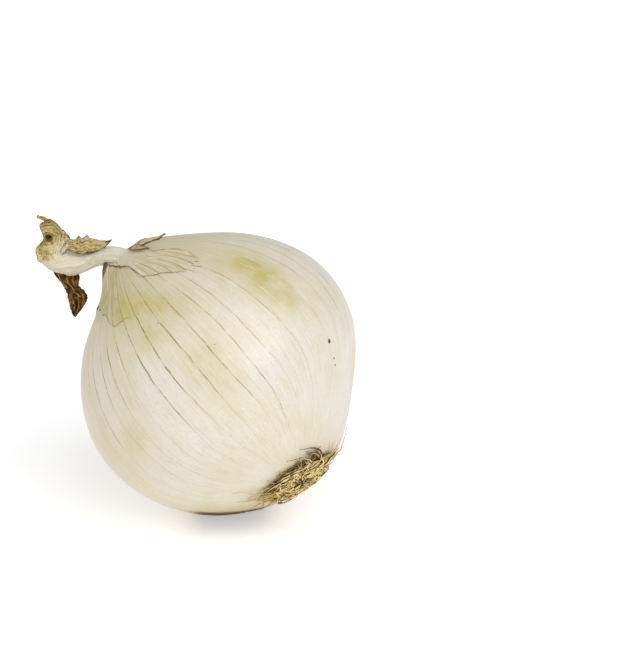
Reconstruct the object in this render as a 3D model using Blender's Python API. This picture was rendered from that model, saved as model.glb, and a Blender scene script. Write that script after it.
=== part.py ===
# White onion lying on its side. Metres, +Z up, the origin at the middle of the flat rest spot.
# Each shape is worked out in the bulb's own frame (root plate at -Z, neck at +Z) or about the bulb's
# middle, and then carried to its place.
import math
import random

import bmesh
import bpy
from mathutils import Matrix, Vector

MM = 0.001

# How the bulb lies
LEAN = math.radians(43.7)           # the neck leans over from upright
TURN = math.radians(17.0)           # and swings towards the back
BULB_MIDDLE = Vector((1.5, -0.4, 42.4)) * MM
SKIN_GAP = 0.55 * MM                # air between the bulb and what lies on it

# Bulb
BULB_RADIUS = 43.4 * MM
BASE_DEPTH = 42.3 * MM              # from the widest ring to the root plate
CROWN_HEIGHT = 44.0 * MM            # from the widest ring to the neck
BASE_POWER = 1.02                   # 1 gives a ball, more gives a tapering end
CROWN_POWER = 1.36
FLANK_DENT = (0.29, 29.5, 28.0, 12.0)        # share of the radius, depth, spread, side (degrees)
SHOULDER_DENT = (0.15, 153.0, 12.0, 232.0)
BASE_SWING = math.radians(25.0)     # the root plate sits this far round,
SWING_SIDE = math.radians(286.0)    # towards this side
BULB_COLUMNS = 96
BULB_RINGS = 27
VEIN_COUNT = 24                     # every second vein of the real bulb, so that few faces carry them
VEIN_RISE = 0.12 * MM
VEIN_FROM, VEIN_TO = math.radians(16), math.radians(118)
BASE_RECESS = 0.8 * MM
RECESS_SPREAD = math.radians(9)

# Dry outer skin: the collar lies on the shoulder, the neck leaves it and bends to the left
SKIN_COLUMNS = 72
COLLAR_EDGE_THICKNESS = 0.65 * MM
COLLAR_RISE = 0.5 * MM              # extra thickness towards the neck
COLLAR_FLARES = ((1.6, 228.0, 34.0), (1.6, 0.0, 50.0))   # how far the skin stands off (mm), side, spread
FLARE_AT, FLARE_SPREAD = 17.0, 9.0
NECK_START = math.radians(10)       # the collar ends this far from the neck's middle
# side of the bulb (degrees) and how far the torn collar reaches down from the neck (degrees)
COLLAR_EDGE = ((0, 30), (45, 38), (80, 33), (120, 37), (165, 31), (205, 28), (236, 31), (258, 39),
               (272, 46), (291, 59), (301, 58), (310, 40), (322, 49), (332, 48), (345, 33))
COLLAR_WAVE = math.radians(1.1)
INNER_ROWS = 9
OUTER_ROWS = 9
# Neck stations about the bulb's middle: across, height, half height, half width (mm)
NECK_DEPTH = 8.8 * MM
NECK_STATIONS = ((-30.2, 32.7, 2.9, 2.7), (-32.2, 33.2, 2.7, 2.4), (-35.8, 33.0, 2.8, 2.4),
                 (-38.8, 31.9, 2.8, 2.6), (-41.8, 31.0, 3.1, 2.9), (-45.3, 31.2, 3.8, 3.1),
                 (-48.2, 31.3, 3.3, 2.7), (-50.6, 31.3, 2.4, 2.2), (-52.7, 31.8, 1.4, 1.5))
NECK_BEND = (0.85, 0.25)            # share of the turn still to make at the first stations
NECK_TIP = Vector((-54.2, 8.6, 32.5)) * MM
PLEATS = 5
PLEAT_DEPTH = 0.11                  # share of the neck's radius
PLEAT_TWIST = math.radians(24)      # from one station to the next
MERGE_DISTANCE = 0.01 * MM
NORMAL_STEP = 0.01                  # radians, for the slope of the bulb's surface

# Leaf ends: pairs of edge points about the bulb's middle (mm), from one end to the other
LEAF_THICKNESS = 0.8 * MM
LEAF_COLUMNS = 9
LEAF_STEPS = 3                      # rows between two pairs
CRUMPLED_ENDS = (((-54.5, 33.7), (-47.0, 36.1)), ((-54.3, 35.8), (-45.3, 37.1)),
                 ((-53.0, 37.9), (-45.1, 38.6)), ((-53.3, 40.6), (-46.5, 40.9)),
                 ((-53.7, 42.7), (-48.2, 42.9)), ((-52.5, 43.9), (-50.0, 44.6)),
                 ((-54.2, 44.6), (-53.9, 45.5)))
SIDE_ENDS = (((-43.8, 35.0), (-44.4, 38.9)), ((-41.7, 34.6), (-42.1, 39.5)), ((-38.6, 34.8), (-39.7, 39.5)),
             ((-35.4, 35.7), (-36.4, 38.6)), ((-33.2, 37.2), (-32.2, 38.9)))
HANGING_ENDS = (((-49.8, 27.3), (-42.5, 26.4)), ((-48.0, 24.7), (-42.8, 24.2)), ((-46.4, 22.0), (-40.3, 22.3)),
                ((-46.1, 20.1), (-40.1, 20.3)), ((-45.5, 18.2), (-41.5, 18.1)), ((-44.9, 15.8), (-42.9, 15.6)),
                ((-44.6, 14.9), (-43.6, 14.9)))

# Root tuft
PLATE_RADIUS = 7.5 * MM
PLATE_HEIGHT = 0.9 * MM
PLATE_CROWN = 1.25                  # its middle is this much higher
PLATE_COLUMNS = 24
ROOT_CLEARANCE = 0.15 * MM
ROOT_CURL = 0.25 * MM
ROOT_COUNT = 54
ROOT_RADIUS = 0.45 * MM
ROOT_STEPS = 7
STRAY_EVERY = 9                     # each ninth root is a long one
STRAY_LENGTH = 4 * MM
ROOT_SEED = 12

COLOURS = {
    "bulb": (0.80, 0.76, 0.62),
    "dry_skin": (0.68, 0.62, 0.45),
    "crumpled_leaf_end": (0.42, 0.32, 0.14),
    "side_leaf_end": (0.40, 0.30, 0.13),
    "hanging_leaf_end": (0.12, 0.06, 0.02),
    "root_tuft": (0.45, 0.35, 0.18),
}


def bulb_axes():
    """The bulb's frame in the object's frame: +Z runs from the root plate to the neck."""
    turn = Matrix.Rotation(-TURN, 3, "Z")
    return turn @ Matrix.Rotation(-LEAN, 3, "Y")


def wrapped(angle):
    return (angle + math.pi) % (2 * math.pi) - math.pi


def dent_share(depth, side, dent):
    """One shallow hollow pressed into the bulb's side."""
    share, at, spread, facing = dent
    along = math.exp(-((depth - math.radians(at)) / math.radians(spread)) ** 2)
    return share * along * max(0.0, math.cos(side - math.radians(facing))) ** 2


def vein_rise(depth, side):
    """Fine ribs along the bulb; they fade out under the dry skin and at the root plate."""
    if not VEIN_FROM < depth < VEIN_TO:
        return 0.0
    fade = math.sin(math.pi * (depth - VEIN_FROM) / (VEIN_TO - VEIN_FROM))
    return VEIN_RISE * fade * (0.5 + 0.5 * math.cos(VEIN_COUNT * side))


def bulb_form(depth, side):
    """Point on the bulb: depth 0 at the root plate, pi at the neck; side is the angle round it."""
    low = depth < math.pi / 2
    power = BASE_POWER if low else CROWN_POWER
    radius = BULB_RADIUS * max(math.sin(depth), 0.0) ** power
    radius *= 1 - dent_share(depth, side, FLANK_DENT) - dent_share(depth, side, SHOULDER_DENT)
    height = -(BASE_DEPTH if low else CROWN_HEIGHT) * math.cos(depth)
    height += BASE_RECESS * math.exp(-(depth / RECESS_SPREAD) ** 2)
    point = Vector((radius * math.cos(side), radius * math.sin(side), height))
    swing = BASE_SWING * math.cos(depth) ** 2 if low else 0.0
    hinge = Vector((-math.sin(SWING_SIDE), math.cos(SWING_SIDE), 0))
    return Matrix.Rotation(-swing, 3, hinge) @ point


def bulb_normal(depth, side):
    if math.sin(depth) < NORMAL_STEP:
        return bulb_form(depth, side).normalized()
    along = bulb_form(depth + NORMAL_STEP, side) - bulb_form(depth - NORMAL_STEP, side)
    around = bulb_form(depth, side + NORMAL_STEP) - bulb_form(depth, side - NORMAL_STEP)
    return around.cross(along).normalized()


def on_bulb(depth, side, lift=0.0):
    return bulb_form(depth, side) + lift * bulb_normal(depth, side)


def ring_mesh(rows):
    """A closed surface through rings of points; a row with one point is a pole."""
    mesh = bmesh.new()
    rings = [[mesh.verts.new(point) for point in row] for row in rows]
    for ring, following in zip(rings, rings[1:]):
        count = max(len(ring), len(following))
        for i in range(count):
            j = (i + 1) % count
            corners = [ring[i % len(ring)], ring[j % len(ring)],
                       following[j % len(following)], following[i % len(following)]]
            mesh.faces.new(list(dict.fromkeys(corners)))
    bmesh.ops.recalc_face_normals(mesh, faces=mesh.faces)
    return mesh


def make_node(name, mesh):
    """Turn a finished mesh into the node's object with its own material."""
    bmesh.ops.remove_doubles(mesh, verts=mesh.verts, dist=MERGE_DISTANCE)
    bmesh.ops.recalc_face_normals(mesh, faces=mesh.faces)
    data = bpy.data.meshes.new(name)
    mesh.to_mesh(data)
    mesh.free()
    node = bpy.data.objects.new(name, data)
    bpy.context.scene.collection.objects.link(node)
    material = bpy.data.materials.new(name)
    material.use_nodes = True
    shader = material.node_tree.nodes["Principled BSDF"]
    shader.inputs["Base Color"].default_value = (*COLOURS[name], 1.0)
    shader.inputs["Roughness"].default_value = 0.5
    data.materials.append(material)
    return node


def placed(point, axes):
    return axes @ point + BULB_MIDDLE


def build_bulb(axes):
    """The swollen bulb, cut level where it rests."""
    rows = []
    for k in range(BULB_RINGS + 1):
        depth = math.pi * k / BULB_RINGS
        count = 1 if k in (0, BULB_RINGS) else BULB_COLUMNS
        sides = [2 * math.pi * i / BULB_COLUMNS for i in range(count)]
        rows.append([placed(on_bulb(depth, side, vein_rise(depth, side)), axes) for side in sides])
    mesh = ring_mesh(rows)
    everything = mesh.verts[:] + mesh.edges[:] + mesh.faces[:]
    cut = bmesh.ops.bisect_plane(mesh, geom=everything, plane_co=(0, 0, 0), plane_no=(0, 0, 1),
                                 clear_inner=True)
    rim = [item for item in cut["geom_cut"] if isinstance(item, bmesh.types.BMEdge)]
    bmesh.ops.contextual_create(mesh, geom=rim)
    return make_node("bulb", mesh)


def collar_reach(side):
    """How far down the torn collar reaches at this side, as an angle from the neck."""
    turn = math.degrees(side) % 360
    stops = [*COLLAR_EDGE, (360 + COLLAR_EDGE[0][0], COLLAR_EDGE[0][1])]
    for (start, reach), (end, following) in zip(stops, stops[1:]):
        if start <= turn <= end:
            share = (turn - start) / (end - start)
            share = share * share * (3 - 2 * share)
            return math.radians(reach + (following - reach) * share) + COLLAR_WAVE * math.sin(19 * side)


def collar_lift(reach, edge, side):
    """Height of the collar's outer face over the bulb, reach being the angle from the neck."""
    share = 1 - min(reach / edge, 1.0)
    lift = SKIN_GAP + COLLAR_EDGE_THICKNESS + COLLAR_RISE * share
    for height, facing, spread in COLLAR_FLARES:
        off = math.degrees(wrapped(side - math.radians(facing))) / spread
        along = (math.degrees(reach) - FLARE_AT) / FLARE_SPREAD
        lift += height * MM * math.exp(-off * off - along * along) * min(1.0, 2.5 * share)
    return lift


def neck_ring(station, bend, twist, axes):
    """One pleated cross-section of the neck; bend 1 faces up the bulb's axis, 0 faces left."""
    across, height, half_height, half_width = station
    centre = Vector((across * MM, NECK_DEPTH, height * MM)) + BULB_MIDDLE
    facing = (bend * axes.col[2] + (1 - bend) * Vector((-1, 0, 0))).normalized()
    deep = (axes.col[1] - axes.col[1].dot(facing) * facing).normalized()
    top = deep.cross(facing)
    ring = []
    for i in range(SKIN_COLUMNS):
        side = 2 * math.pi * i / SKIN_COLUMNS
        fold = 1 + PLEAT_DEPTH * math.cos(PLEATS * (side + twist)) * (1 - bend)
        ring.append(centre + MM * fold * (half_height * math.cos(side) * top
                                          + half_width * math.sin(side) * deep))
    return ring


def build_dry_skin(axes):
    """Collar and neck as one closed skin: up the inside, over the torn edge, out along the neck."""
    sides = [2 * math.pi * i / SKIN_COLUMNS for i in range(SKIN_COLUMNS)]
    edges = [collar_reach(side) for side in sides]
    rows = [[placed(on_bulb(math.pi, 0.0, SKIN_GAP), axes)]]
    for k in range(1, INNER_ROWS + 1):
        rows.append([placed(on_bulb(math.pi - edge * k / INNER_ROWS, side, SKIN_GAP), axes)
                     for side, edge in zip(sides, edges)])
    for k in range(OUTER_ROWS):
        row = []
        for side, edge in zip(sides, edges):
            reach = edge + (NECK_START - edge) * k / (OUTER_ROWS - 1)
            row.append(placed(on_bulb(math.pi - reach, side, collar_lift(reach, edge, side)), axes))
        rows.append(row)
    for k, station in enumerate(NECK_STATIONS):
        bend = NECK_BEND[k] if k < len(NECK_BEND) else 0.0
        rows.append(neck_ring(station, bend, k * PLEAT_TWIST, axes))
    rows.append([NECK_TIP + BULB_MIDDLE])
    return make_node("dry_skin", ring_mesh(rows))


def smooth_between(points, place):
    """Catmull-Rom curve through the points; place runs from 0 to their number less one."""
    k = min(int(place), len(points) - 2)
    u = place - k
    a, b = points[max(k - 1, 0)], points[k]
    c, d = points[k + 1], points[min(k + 2, len(points) - 1)]
    return 0.5 * (2 * b + (c - a) * u + (2 * a - 5 * b + 4 * c - d) * u * u
                  + (3 * b - 3 * c + d - a) * u * u * u)


def leaf_sheet(ends, depth_at):
    """Middle surface of a dry leaf end; depth_at gives its distance back from the viewer in mm."""
    lefts = [Vector((left[0], 0, left[1])) for left, right in ends]
    rights = [Vector((right[0], 0, right[1])) for left, right in ends]
    count = (len(ends) - 1) * LEAF_STEPS
    grid = []
    for k in range(count + 1):
        along = k / count
        left = smooth_between(lefts, along * (len(ends) - 1))
        right = smooth_between(rights, along * (len(ends) - 1))
        row = []
        for i in range(LEAF_COLUMNS):
            across = i / (LEAF_COLUMNS - 1)
            point = left.lerp(right, across)
            point.y = depth_at(across, along)
            row.append(point * MM + BULB_MIDDLE)
        grid.append(row)
    return grid


def build_leaf(name, grid):
    """Give a leaf sheet its thickness and close its rim."""
    mesh = bmesh.new()
    verts = [[mesh.verts.new(point) for point in row] for row in grid]
    for row, following in zip(verts, verts[1:]):
        for i in range(len(row) - 1):
            mesh.faces.new((row[i], row[i + 1], following[i + 1], following[i]))
    mesh.normal_update()
    half = {vert: vert.normal * (LEAF_THICKNESS / 2) for vert in mesh.verts}
    for vert in mesh.verts:
        vert.co -= half[vert]
    bmesh.ops.solidify(mesh, geom=mesh.faces[:], thickness=-LEAF_THICKNESS)
    return make_node(name, mesh)


def build_crumpled_leaf_end():
    """The torn end of the neck: a cupped hood with a hollow and a curled tip."""
    def depth_at(across, along):
        cup = math.sin(math.pi * across) * math.sin(math.pi * min(1.0, 0.12 + along * 1.1)) ** 0.5
        crease = math.sin(9 * along + 5 * across) * math.sin(math.pi * across)
        return 7.4 + 3.4 * cup + 0.35 * crease + 1.4 * along
    return build_leaf("crumpled_leaf_end", leaf_sheet(CRUMPLED_ENDS, depth_at))


def build_side_leaf_end():
    """The flap with a ragged rim on top of the neck."""
    def depth_at(across, along):
        wave = math.sin(2 * math.pi * 2.5 * along) * across
        return 6.0 - 0.9 * math.sin(math.pi * across) + 0.35 * wave + 1.2 * along
    return build_leaf("side_leaf_end", leaf_sheet(SIDE_ENDS, depth_at))


def build_hanging_leaf_end():
    """The dark leaf end under the neck, folded lengthwise."""
    def depth_at(across, along):
        fold = math.cos(3 * math.pi * across + 2.0 * along)
        return 8.6 + 0.75 * fold * (1 - 0.6 * along) - 0.5 * along
    return build_leaf("hanging_leaf_end", leaf_sheet(HANGING_ENDS, depth_at))


def near_root(distance, turn, lift):
    """Point over the bulb's base, a distance away from the root plate's middle."""
    return on_bulb(distance / BULB_RADIUS, turn, lift)


def root_plate(axes):
    """Low, closed cake of dry tissue that the roots grow from."""
    turns = [2 * math.pi * i / PLATE_COLUMNS for i in range(PLATE_COLUMNS)]
    shares = (0.4, 0.75, 1.0)
    rows = [[placed(near_root(0, 0, SKIN_GAP), axes)]]
    for share in shares:
        rows.append([placed(near_root(share * PLATE_RADIUS, turn, SKIN_GAP), axes) for turn in turns])
    for share in reversed(shares):
        lift = SKIN_GAP + PLATE_HEIGHT * (PLATE_CROWN - 0.5 * share)
        rows.append([placed(near_root(share * PLATE_RADIUS, turn, lift), axes) for turn in turns])
    rows.append([placed(near_root(0, 0, SKIN_GAP + PLATE_CROWN * PLATE_HEIGHT), axes)])
    return ring_mesh(rows)


def root_path(chance, stray, axes):
    """A dry root: it leaves the plate, runs outwards with a curl and stays clear of the bulb."""
    start = PLATE_RADIUS * 0.9 * math.sqrt(chance.random())
    turn = chance.uniform(0, 2 * math.pi)
    length = chance.uniform(4, 8.5) * MM + stray * STRAY_LENGTH
    swerve = chance.uniform(-1.1, 1.1)
    top = chance.uniform(0.1, 1.1) * MM
    phase = chance.uniform(0, 2 * math.pi)
    floor = SKIN_GAP + ROOT_RADIUS + ROOT_CLEARANCE
    path = []
    for k in range(ROOT_STEPS + 1):
        share = k / ROOT_STEPS
        distance = start + length * share
        lift = floor + top * math.sin(math.pi * min(1.0, 0.15 + share * 0.8)) ** 1.3
        lift += ROOT_CURL * (1 + math.sin(7 * share + phase)) * share
        path.append(placed(near_root(distance, turn + swerve * share * share, lift), axes))
    path[0] = placed(near_root(start, turn, floor), axes)
    return path


def root_strand(path):
    """A three-sided rod along the path."""
    rows = [[path[0]]]
    for k in range(1, len(path) - 1):
        along = (path[k + 1] - path[k - 1]).normalized()
        out = along.orthogonal().normalized() if k == 1 else (out - out.dot(along) * along).normalized()
        other = along.cross(out)
        rows.append([path[k] + ROOT_RADIUS * (math.cos(a) * out + math.sin(a) * other)
                     for a in (0, 2 * math.pi / 3, 4 * math.pi / 3)])
    rows.append([path[-1]])
    return ring_mesh(rows)


def keep_outer_skin(node):
    """Crossing roots can shut in a pocket of air: keep the largest connected surface only."""
    mesh = bmesh.new()
    mesh.from_mesh(node.data)
    waiting, pieces = set(mesh.verts), []
    while waiting:
        piece, reached = set(), [waiting.pop()]
        while reached:
            vert = reached.pop()
            piece.add(vert)
            for edge in vert.link_edges:
                other = edge.other_vert(vert)
                if other in waiting:
                    waiting.remove(other)
                    reached.append(other)
        pieces.append(piece)
    outer = max(pieces, key=len)
    bmesh.ops.delete(mesh, geom=[vert for vert in mesh.verts if vert not in outer], context="VERTS")
    mesh.to_mesh(node.data)
    mesh.free()


def build_root_tuft(axes):
    """Root plate and dry roots joined into one body."""
    chance = random.Random(ROOT_SEED)
    strands = bpy.data.collections.new("root strands")
    for number in range(ROOT_COUNT):
        data = bpy.data.meshes.new("root strand")
        mesh = root_strand(root_path(chance, number % STRAY_EVERY == 0, axes))
        mesh.to_mesh(data)
        mesh.free()
        strands.objects.link(bpy.data.objects.new("root strand", data))
    plate = make_node("root_tuft", root_plate(axes))
    bpy.context.scene.collection.children.link(strands)
    join = plate.modifiers.new("join", "BOOLEAN")
    join.operation = "UNION"
    join.operand_type = "COLLECTION"
    join.solver = "MANIFOLD"
    join.collection = strands
    graph = bpy.context.evaluated_depsgraph_get()
    joined = bpy.data.meshes.new_from_object(plate.evaluated_get(graph))
    plate.modifiers.clear()
    plate.data = joined
    keep_outer_skin(plate)
    for strand in list(strands.objects):
        bpy.data.objects.remove(strand)
    bpy.data.collections.remove(strands)
    return plate


def build():
    for thing in list(bpy.data.objects):
        bpy.data.objects.remove(thing)
    axes = bulb_axes()
    build_bulb(axes)
    build_dry_skin(axes)
    build_crumpled_leaf_end()
    build_side_leaf_end()
    build_hanging_leaf_end()
    build_root_tuft(axes)


build()
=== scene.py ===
# %% [markdown]
# # A white onion, lying on its side
# The onion is a swollen bulb with fine lengthwise veins. A torn collar of dry skin lies round its top. The
# dry neck bends away to the left with three withered leaf ends, and a mat of dry roots sits on its lower
# right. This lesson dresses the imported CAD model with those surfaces, one piece at a time.

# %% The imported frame
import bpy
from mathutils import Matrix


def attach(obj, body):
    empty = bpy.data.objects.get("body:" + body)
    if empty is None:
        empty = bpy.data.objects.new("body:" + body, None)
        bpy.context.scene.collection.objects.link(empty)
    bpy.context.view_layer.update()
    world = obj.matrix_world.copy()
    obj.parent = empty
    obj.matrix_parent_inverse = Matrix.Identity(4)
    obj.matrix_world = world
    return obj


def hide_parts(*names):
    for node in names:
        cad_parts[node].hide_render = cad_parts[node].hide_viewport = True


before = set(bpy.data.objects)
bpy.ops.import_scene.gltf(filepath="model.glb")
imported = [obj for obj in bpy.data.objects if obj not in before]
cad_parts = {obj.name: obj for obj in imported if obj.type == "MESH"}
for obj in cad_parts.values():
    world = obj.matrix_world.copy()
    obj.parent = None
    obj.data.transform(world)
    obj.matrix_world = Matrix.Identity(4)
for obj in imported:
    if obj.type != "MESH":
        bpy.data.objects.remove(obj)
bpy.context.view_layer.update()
print("nodes", sorted(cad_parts))

# %% [markdown]
# ## Tools and units
# The frame is in metres, but an onion is easier to describe in millimetres, so a size is written as so many
# times MM. Surfaces are worked out as rows of points with numpy, and bpy makes Blender's meshes of them.

import bpy
import numpy as np

MM = 0.001
scene = bpy.context.scene

# %% [markdown]
# ## Camera
# The photograph looks slightly down on the onion through a long lens, which keeps its round outline true.
# The values were found by laying the CAD outline over the photograph.

# %% Camera
CAMERA_PLACE = (0.02837, -0.60875, 0.25458)
CAMERA_PITCH = 18                       # degrees below the horizon
CAMERA_LENS, SENSOR_WIDTH = 120, 36     # mm

camera_data = bpy.data.cameras.new("camera")
camera_data.lens, camera_data.sensor_width = CAMERA_LENS, SENSOR_WIDTH
camera = bpy.data.objects.new("camera", camera_data)
camera.location = CAMERA_PLACE
camera.rotation_euler = (np.radians(90 - CAMERA_PITCH), 0, 0)
scene.collection.objects.link(camera)
scene.camera = camera
print("camera", CAMERA_PLACE, "lens", camera_data.lens)

# %% [markdown]
# ## Light
# Soft white light from the front, upper right, gives a broad pale gloss on the waxy skin. A weak one from the
# left and a pale sky fill the shadows. The Standard view keeps whites white.

# %% Light
WHITE = (1, 1, 1, 1)
SKY_LIGHT = 0.5
LIGHTS = (("key", (0.975, 0.985, 1.03), 1.75, 55, (47, 0, 33)),      # tint, strength, width and turn,
          ("fill", (1, 1, 1), 0.4, 90, (62, 0, -58)))                # both in degrees

scene.view_settings.view_transform = "Standard"
world = bpy.data.worlds.new("studio")
world.use_nodes = True
world.node_tree.nodes["Background"].inputs["Color"].default_value = WHITE
world.node_tree.nodes["Background"].inputs["Strength"].default_value = SKY_LIGHT
scene.world = world
for name, tint, strength, spread, turn in LIGHTS:
    light_data = bpy.data.lights.new(name, "SUN")
    light_data.color, light_data.energy, light_data.angle = tint, strength, np.radians(spread)
    light = bpy.data.objects.new(name, light_data)
    light.rotation_euler = np.radians(turn).tolist()
    scene.collection.objects.link(light)
    print("light", name, strength)

# %% [markdown]
# ## Helpers for node trees
# Materials and geometry trees are both made of nodes. Each helper here adds a node with its links, and gives
# back what the next one needs, so that a recipe further down reads as a list of steps.

# %% Helpers for node trees
def add(tree, kind, inputs=None, **settings):
    """A node with its settings, each input given a value or a link."""
    node = tree.nodes.new(kind)
    for name, value in settings.items():
        setattr(node, name, value)
    for name, value in (inputs or {}).items():
        if isinstance(value, bpy.types.NodeSocket):
            tree.links.new(value, node.inputs[name])
        else:
            node.inputs[name].default_value = value
    return node


def calc(tree, operation, a, b=0.0, clamp=False):
    """The result of one sum on two numbers or sockets."""
    return add(tree, "ShaderNodeMath", {0: a, 1: b}, operation=operation, use_clamp=clamp).outputs[0]


def between(tree, value, low, high, start=0.0, end=1.0):
    """A value carried smoothly from the range low..high to start..end."""
    inputs = {"Value": value, "From Min": low, "From Max": high, "To Min": start, "To Max": end}
    return add(tree, "ShaderNodeMapRange", inputs, interpolation_type="SMOOTHSTEP").outputs[0]


def linear(red, green, blue):
    """A colour as seen on a screen, 0 to 255, as Blender's light values."""
    parts = np.array([red, green, blue]) / 255
    return (*np.where(parts <= 0.04045, parts / 12.92, ((parts + 0.055) / 1.055) ** 2.4).tolist(), 1)


def blend(tree, share, first, second):
    """A colour between two others."""
    node = add(tree, "ShaderNodeMix", {0: share, 6: first, 7: second}, data_type="RGBA")
    return node.outputs[2]


def attribute(tree, name, output="Fac"):
    """What a surface stores under this name."""
    return add(tree, "ShaderNodeAttribute", attribute_name=name).outputs[output]


def noise(tree, vector, scale, detail, roughness):
    """A cloudy pattern, 0 to 1."""
    inputs = {"Vector": vector, "Scale": scale, "Detail": detail, "Roughness": roughness}
    return add(tree, "ShaderNodeTexNoise", inputs).outputs[0]


print("node helpers ready")

# %% Helpers for materials
def finish_material(name, roughness, specular):
    """A new material: itself, its tree, its shader and its object coordinates."""
    material = bpy.data.materials.new(name)
    material.use_nodes = True
    tree = material.node_tree
    shader = tree.nodes["Principled BSDF"]
    shader.inputs["Roughness"].default_value = roughness
    shader.inputs["Specular IOR Level"].default_value = specular
    place = add(tree, "ShaderNodeTexCoord").outputs["Object"]
    return material, tree, shader, place


def raise_surface(tree, shader, height, distance, strength):
    """Bump that stands distance metres proud where height is 1."""
    bump = add(tree, "ShaderNodeBump", {"Height": height, "Distance": distance, "Strength": strength})
    tree.links.new(bump.outputs[0], shader.inputs["Normal"])


def let_light_in(shader, weight, radius, scale):
    """Light that spreads under the skin, further for red than for blue."""
    shader.inputs["Subsurface Weight"].default_value = weight
    shader.inputs["Subsurface Radius"].default_value = radius
    shader.inputs["Subsurface Scale"].default_value = scale


print("material helpers ready")

# %% [markdown]
# ## The table
# The table is a white one that glows a little, as a photographer's light table does, so it throws light back
# under the bulb. One large square is enough, because only its top is seen.

# %% Table
FLOOR_HALF, FLOOR_WHITE, FLOOR_GLOW = 6.0, (0.74, 0.74, 0.74, 1), 0.42

floor_mesh = bpy.data.meshes.new("floor")
floor_mesh.from_pydata([(x * FLOOR_HALF, y * FLOOR_HALF, 0) for x, y in ((-1, -1), (1, -1), (1, 1), (-1, 1))],
                       [], [(0, 1, 2, 3)])
floor = bpy.data.objects.new("floor", floor_mesh)
scene.collection.objects.link(floor)
floor_finish, _, shader, _ = finish_material("pale_table", roughness=0.8, specular=0.2)
shader.inputs["Base Color"].default_value = FLOOR_WHITE
shader.inputs["Emission Color"].default_value = WHITE
shader.inputs["Emission Strength"].default_value = FLOOR_GLOW
floor_mesh.materials.append(floor_finish)
print("floor", 2 * FLOOR_HALF, "m wide")

# %% [markdown]
# ## The bulb's form
# A bulb is a body of revolution that a rule describes: every point has a depth, counted in degrees from the
# root plate to the neck, and a side round the axis. Two soft dents, and a base that sits a little askew, take
# away the look of a turned ball. The same values shape the CAD solid, so every skin fits over it.

# %% Bulb form
LEAN, TURN = np.radians(43.7), np.radians(17)
MIDDLE = np.array([1.5, -0.4, 42.4]) * MM
RADIUS, BASE_DEPTH, CROWN_HEIGHT = 43.4 * MM, 42.3 * MM, 44.0 * MM
BASE_POWER, CROWN_POWER = 1.02, 1.36
DENTS = ((0.29, 29.5, 28, 12), (0.15, 153, 12, 232))      # share of the radius, depth, spread, side
BASE_SWING, SWING_SIDE = np.radians(25), np.radians(286)
RECESS, RECESS_SPREAD = 0.8 * MM, np.radians(9)
SHOULDER = (1.8, 17, 14.5, 12, 38)      # mm, then degrees from the neck and spread, side and spread


def apart(side, facing):
    """Degrees between two sides, the short way round."""
    return (side - facing + 180) % 360 - 180


def shoulder(depth, side):
    """Where the layers gather behind the neck, the skin stands higher (mm)."""
    height, at, spread, facing, wide = SHOULDER
    reach = 180 - depth
    return (height * np.exp(-((reach - at) / spread) ** 2 - (apart(side, facing) / wide) ** 2)
            * np.clip(reach / 6, 0, 1))


def turned(axis, angle):
    """The matrix of a turn about an axis."""
    x, y, z = axis
    cross = np.array([[0, -z, y], [z, 0, -x], [-y, x, 0]])
    return np.eye(3) + np.sin(angle) * cross + (1 - np.cos(angle)) * cross @ cross


AXES = turned((0, 0, 1), -TURN) @ turned((0, 1, 0), -LEAN)


def form(depth, side):
    """Points of the bulb's skin about its middle, before it leans."""
    depth, side = np.broadcast_arrays(np.asarray(depth, float), np.asarray(side, float))
    low = depth < np.pi / 2
    radius = RADIUS * np.clip(np.sin(depth), 0, None) ** np.where(low, BASE_POWER, CROWN_POWER)
    for share, at, spread, facing in DENTS:
        across = np.clip(np.cos(side - np.radians(facing)), 0, None) ** 2
        radius = radius * (1 - share * across * np.exp(-((np.degrees(depth) - at) / spread) ** 2))
    height = -np.where(low, BASE_DEPTH, CROWN_HEIGHT) * np.cos(depth)
    height = height + RECESS * np.exp(-(depth / RECESS_SPREAD) ** 2)
    points = np.stack([radius * np.cos(side), radius * np.sin(side), height], -1)
    swing = -np.where(low, BASE_SWING * np.cos(depth) ** 2, 0.0)[..., None]
    axis = np.array([-np.sin(SWING_SIDE), np.cos(SWING_SIDE), 0.0])
    return (points * np.cos(swing) + np.cross(axis, points) * np.sin(swing)
            + (points @ axis)[..., None] * axis * (1 - np.cos(swing)))


def on_bulb(depth, side, lift=0.0):
    """World points a lift above the bulb; depth and side in degrees."""
    lift = lift + shoulder(np.asarray(depth, float), np.asarray(side, float)) * MM
    depth, side, lift = np.broadcast_arrays(np.radians(depth), np.radians(side), lift)
    points, step = form(depth, side), 0.01
    outward = np.cross(form(depth, side + step) - form(depth, side - step),
                       form(depth + step, side) - form(depth - step, side))
    length = np.linalg.norm(outward, axis=-1, keepdims=True)
    outward = np.where(length > 1e-12, outward / np.maximum(length, 1e-12),
                       np.stack([0 * depth, 0 * depth, np.sign(depth - 1)], -1))
    return (points + lift[..., None] * outward) @ AXES.T + MIDDLE


print("neck at", (on_bulb(180, 0) / MM).round(1), "roots at", (on_bulb(0, 0) / MM).round(1))

# %% [markdown]
# ## Meshes from rows of points
# Each skin is worked out as rows of points, which are joined into four-sided faces. It could be sculpted
# instead, but rows that follow one rule keep every skin the same distance from the one under it. What a
# material has to know, such as where a vein runs, is stored on the points under a name.

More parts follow.
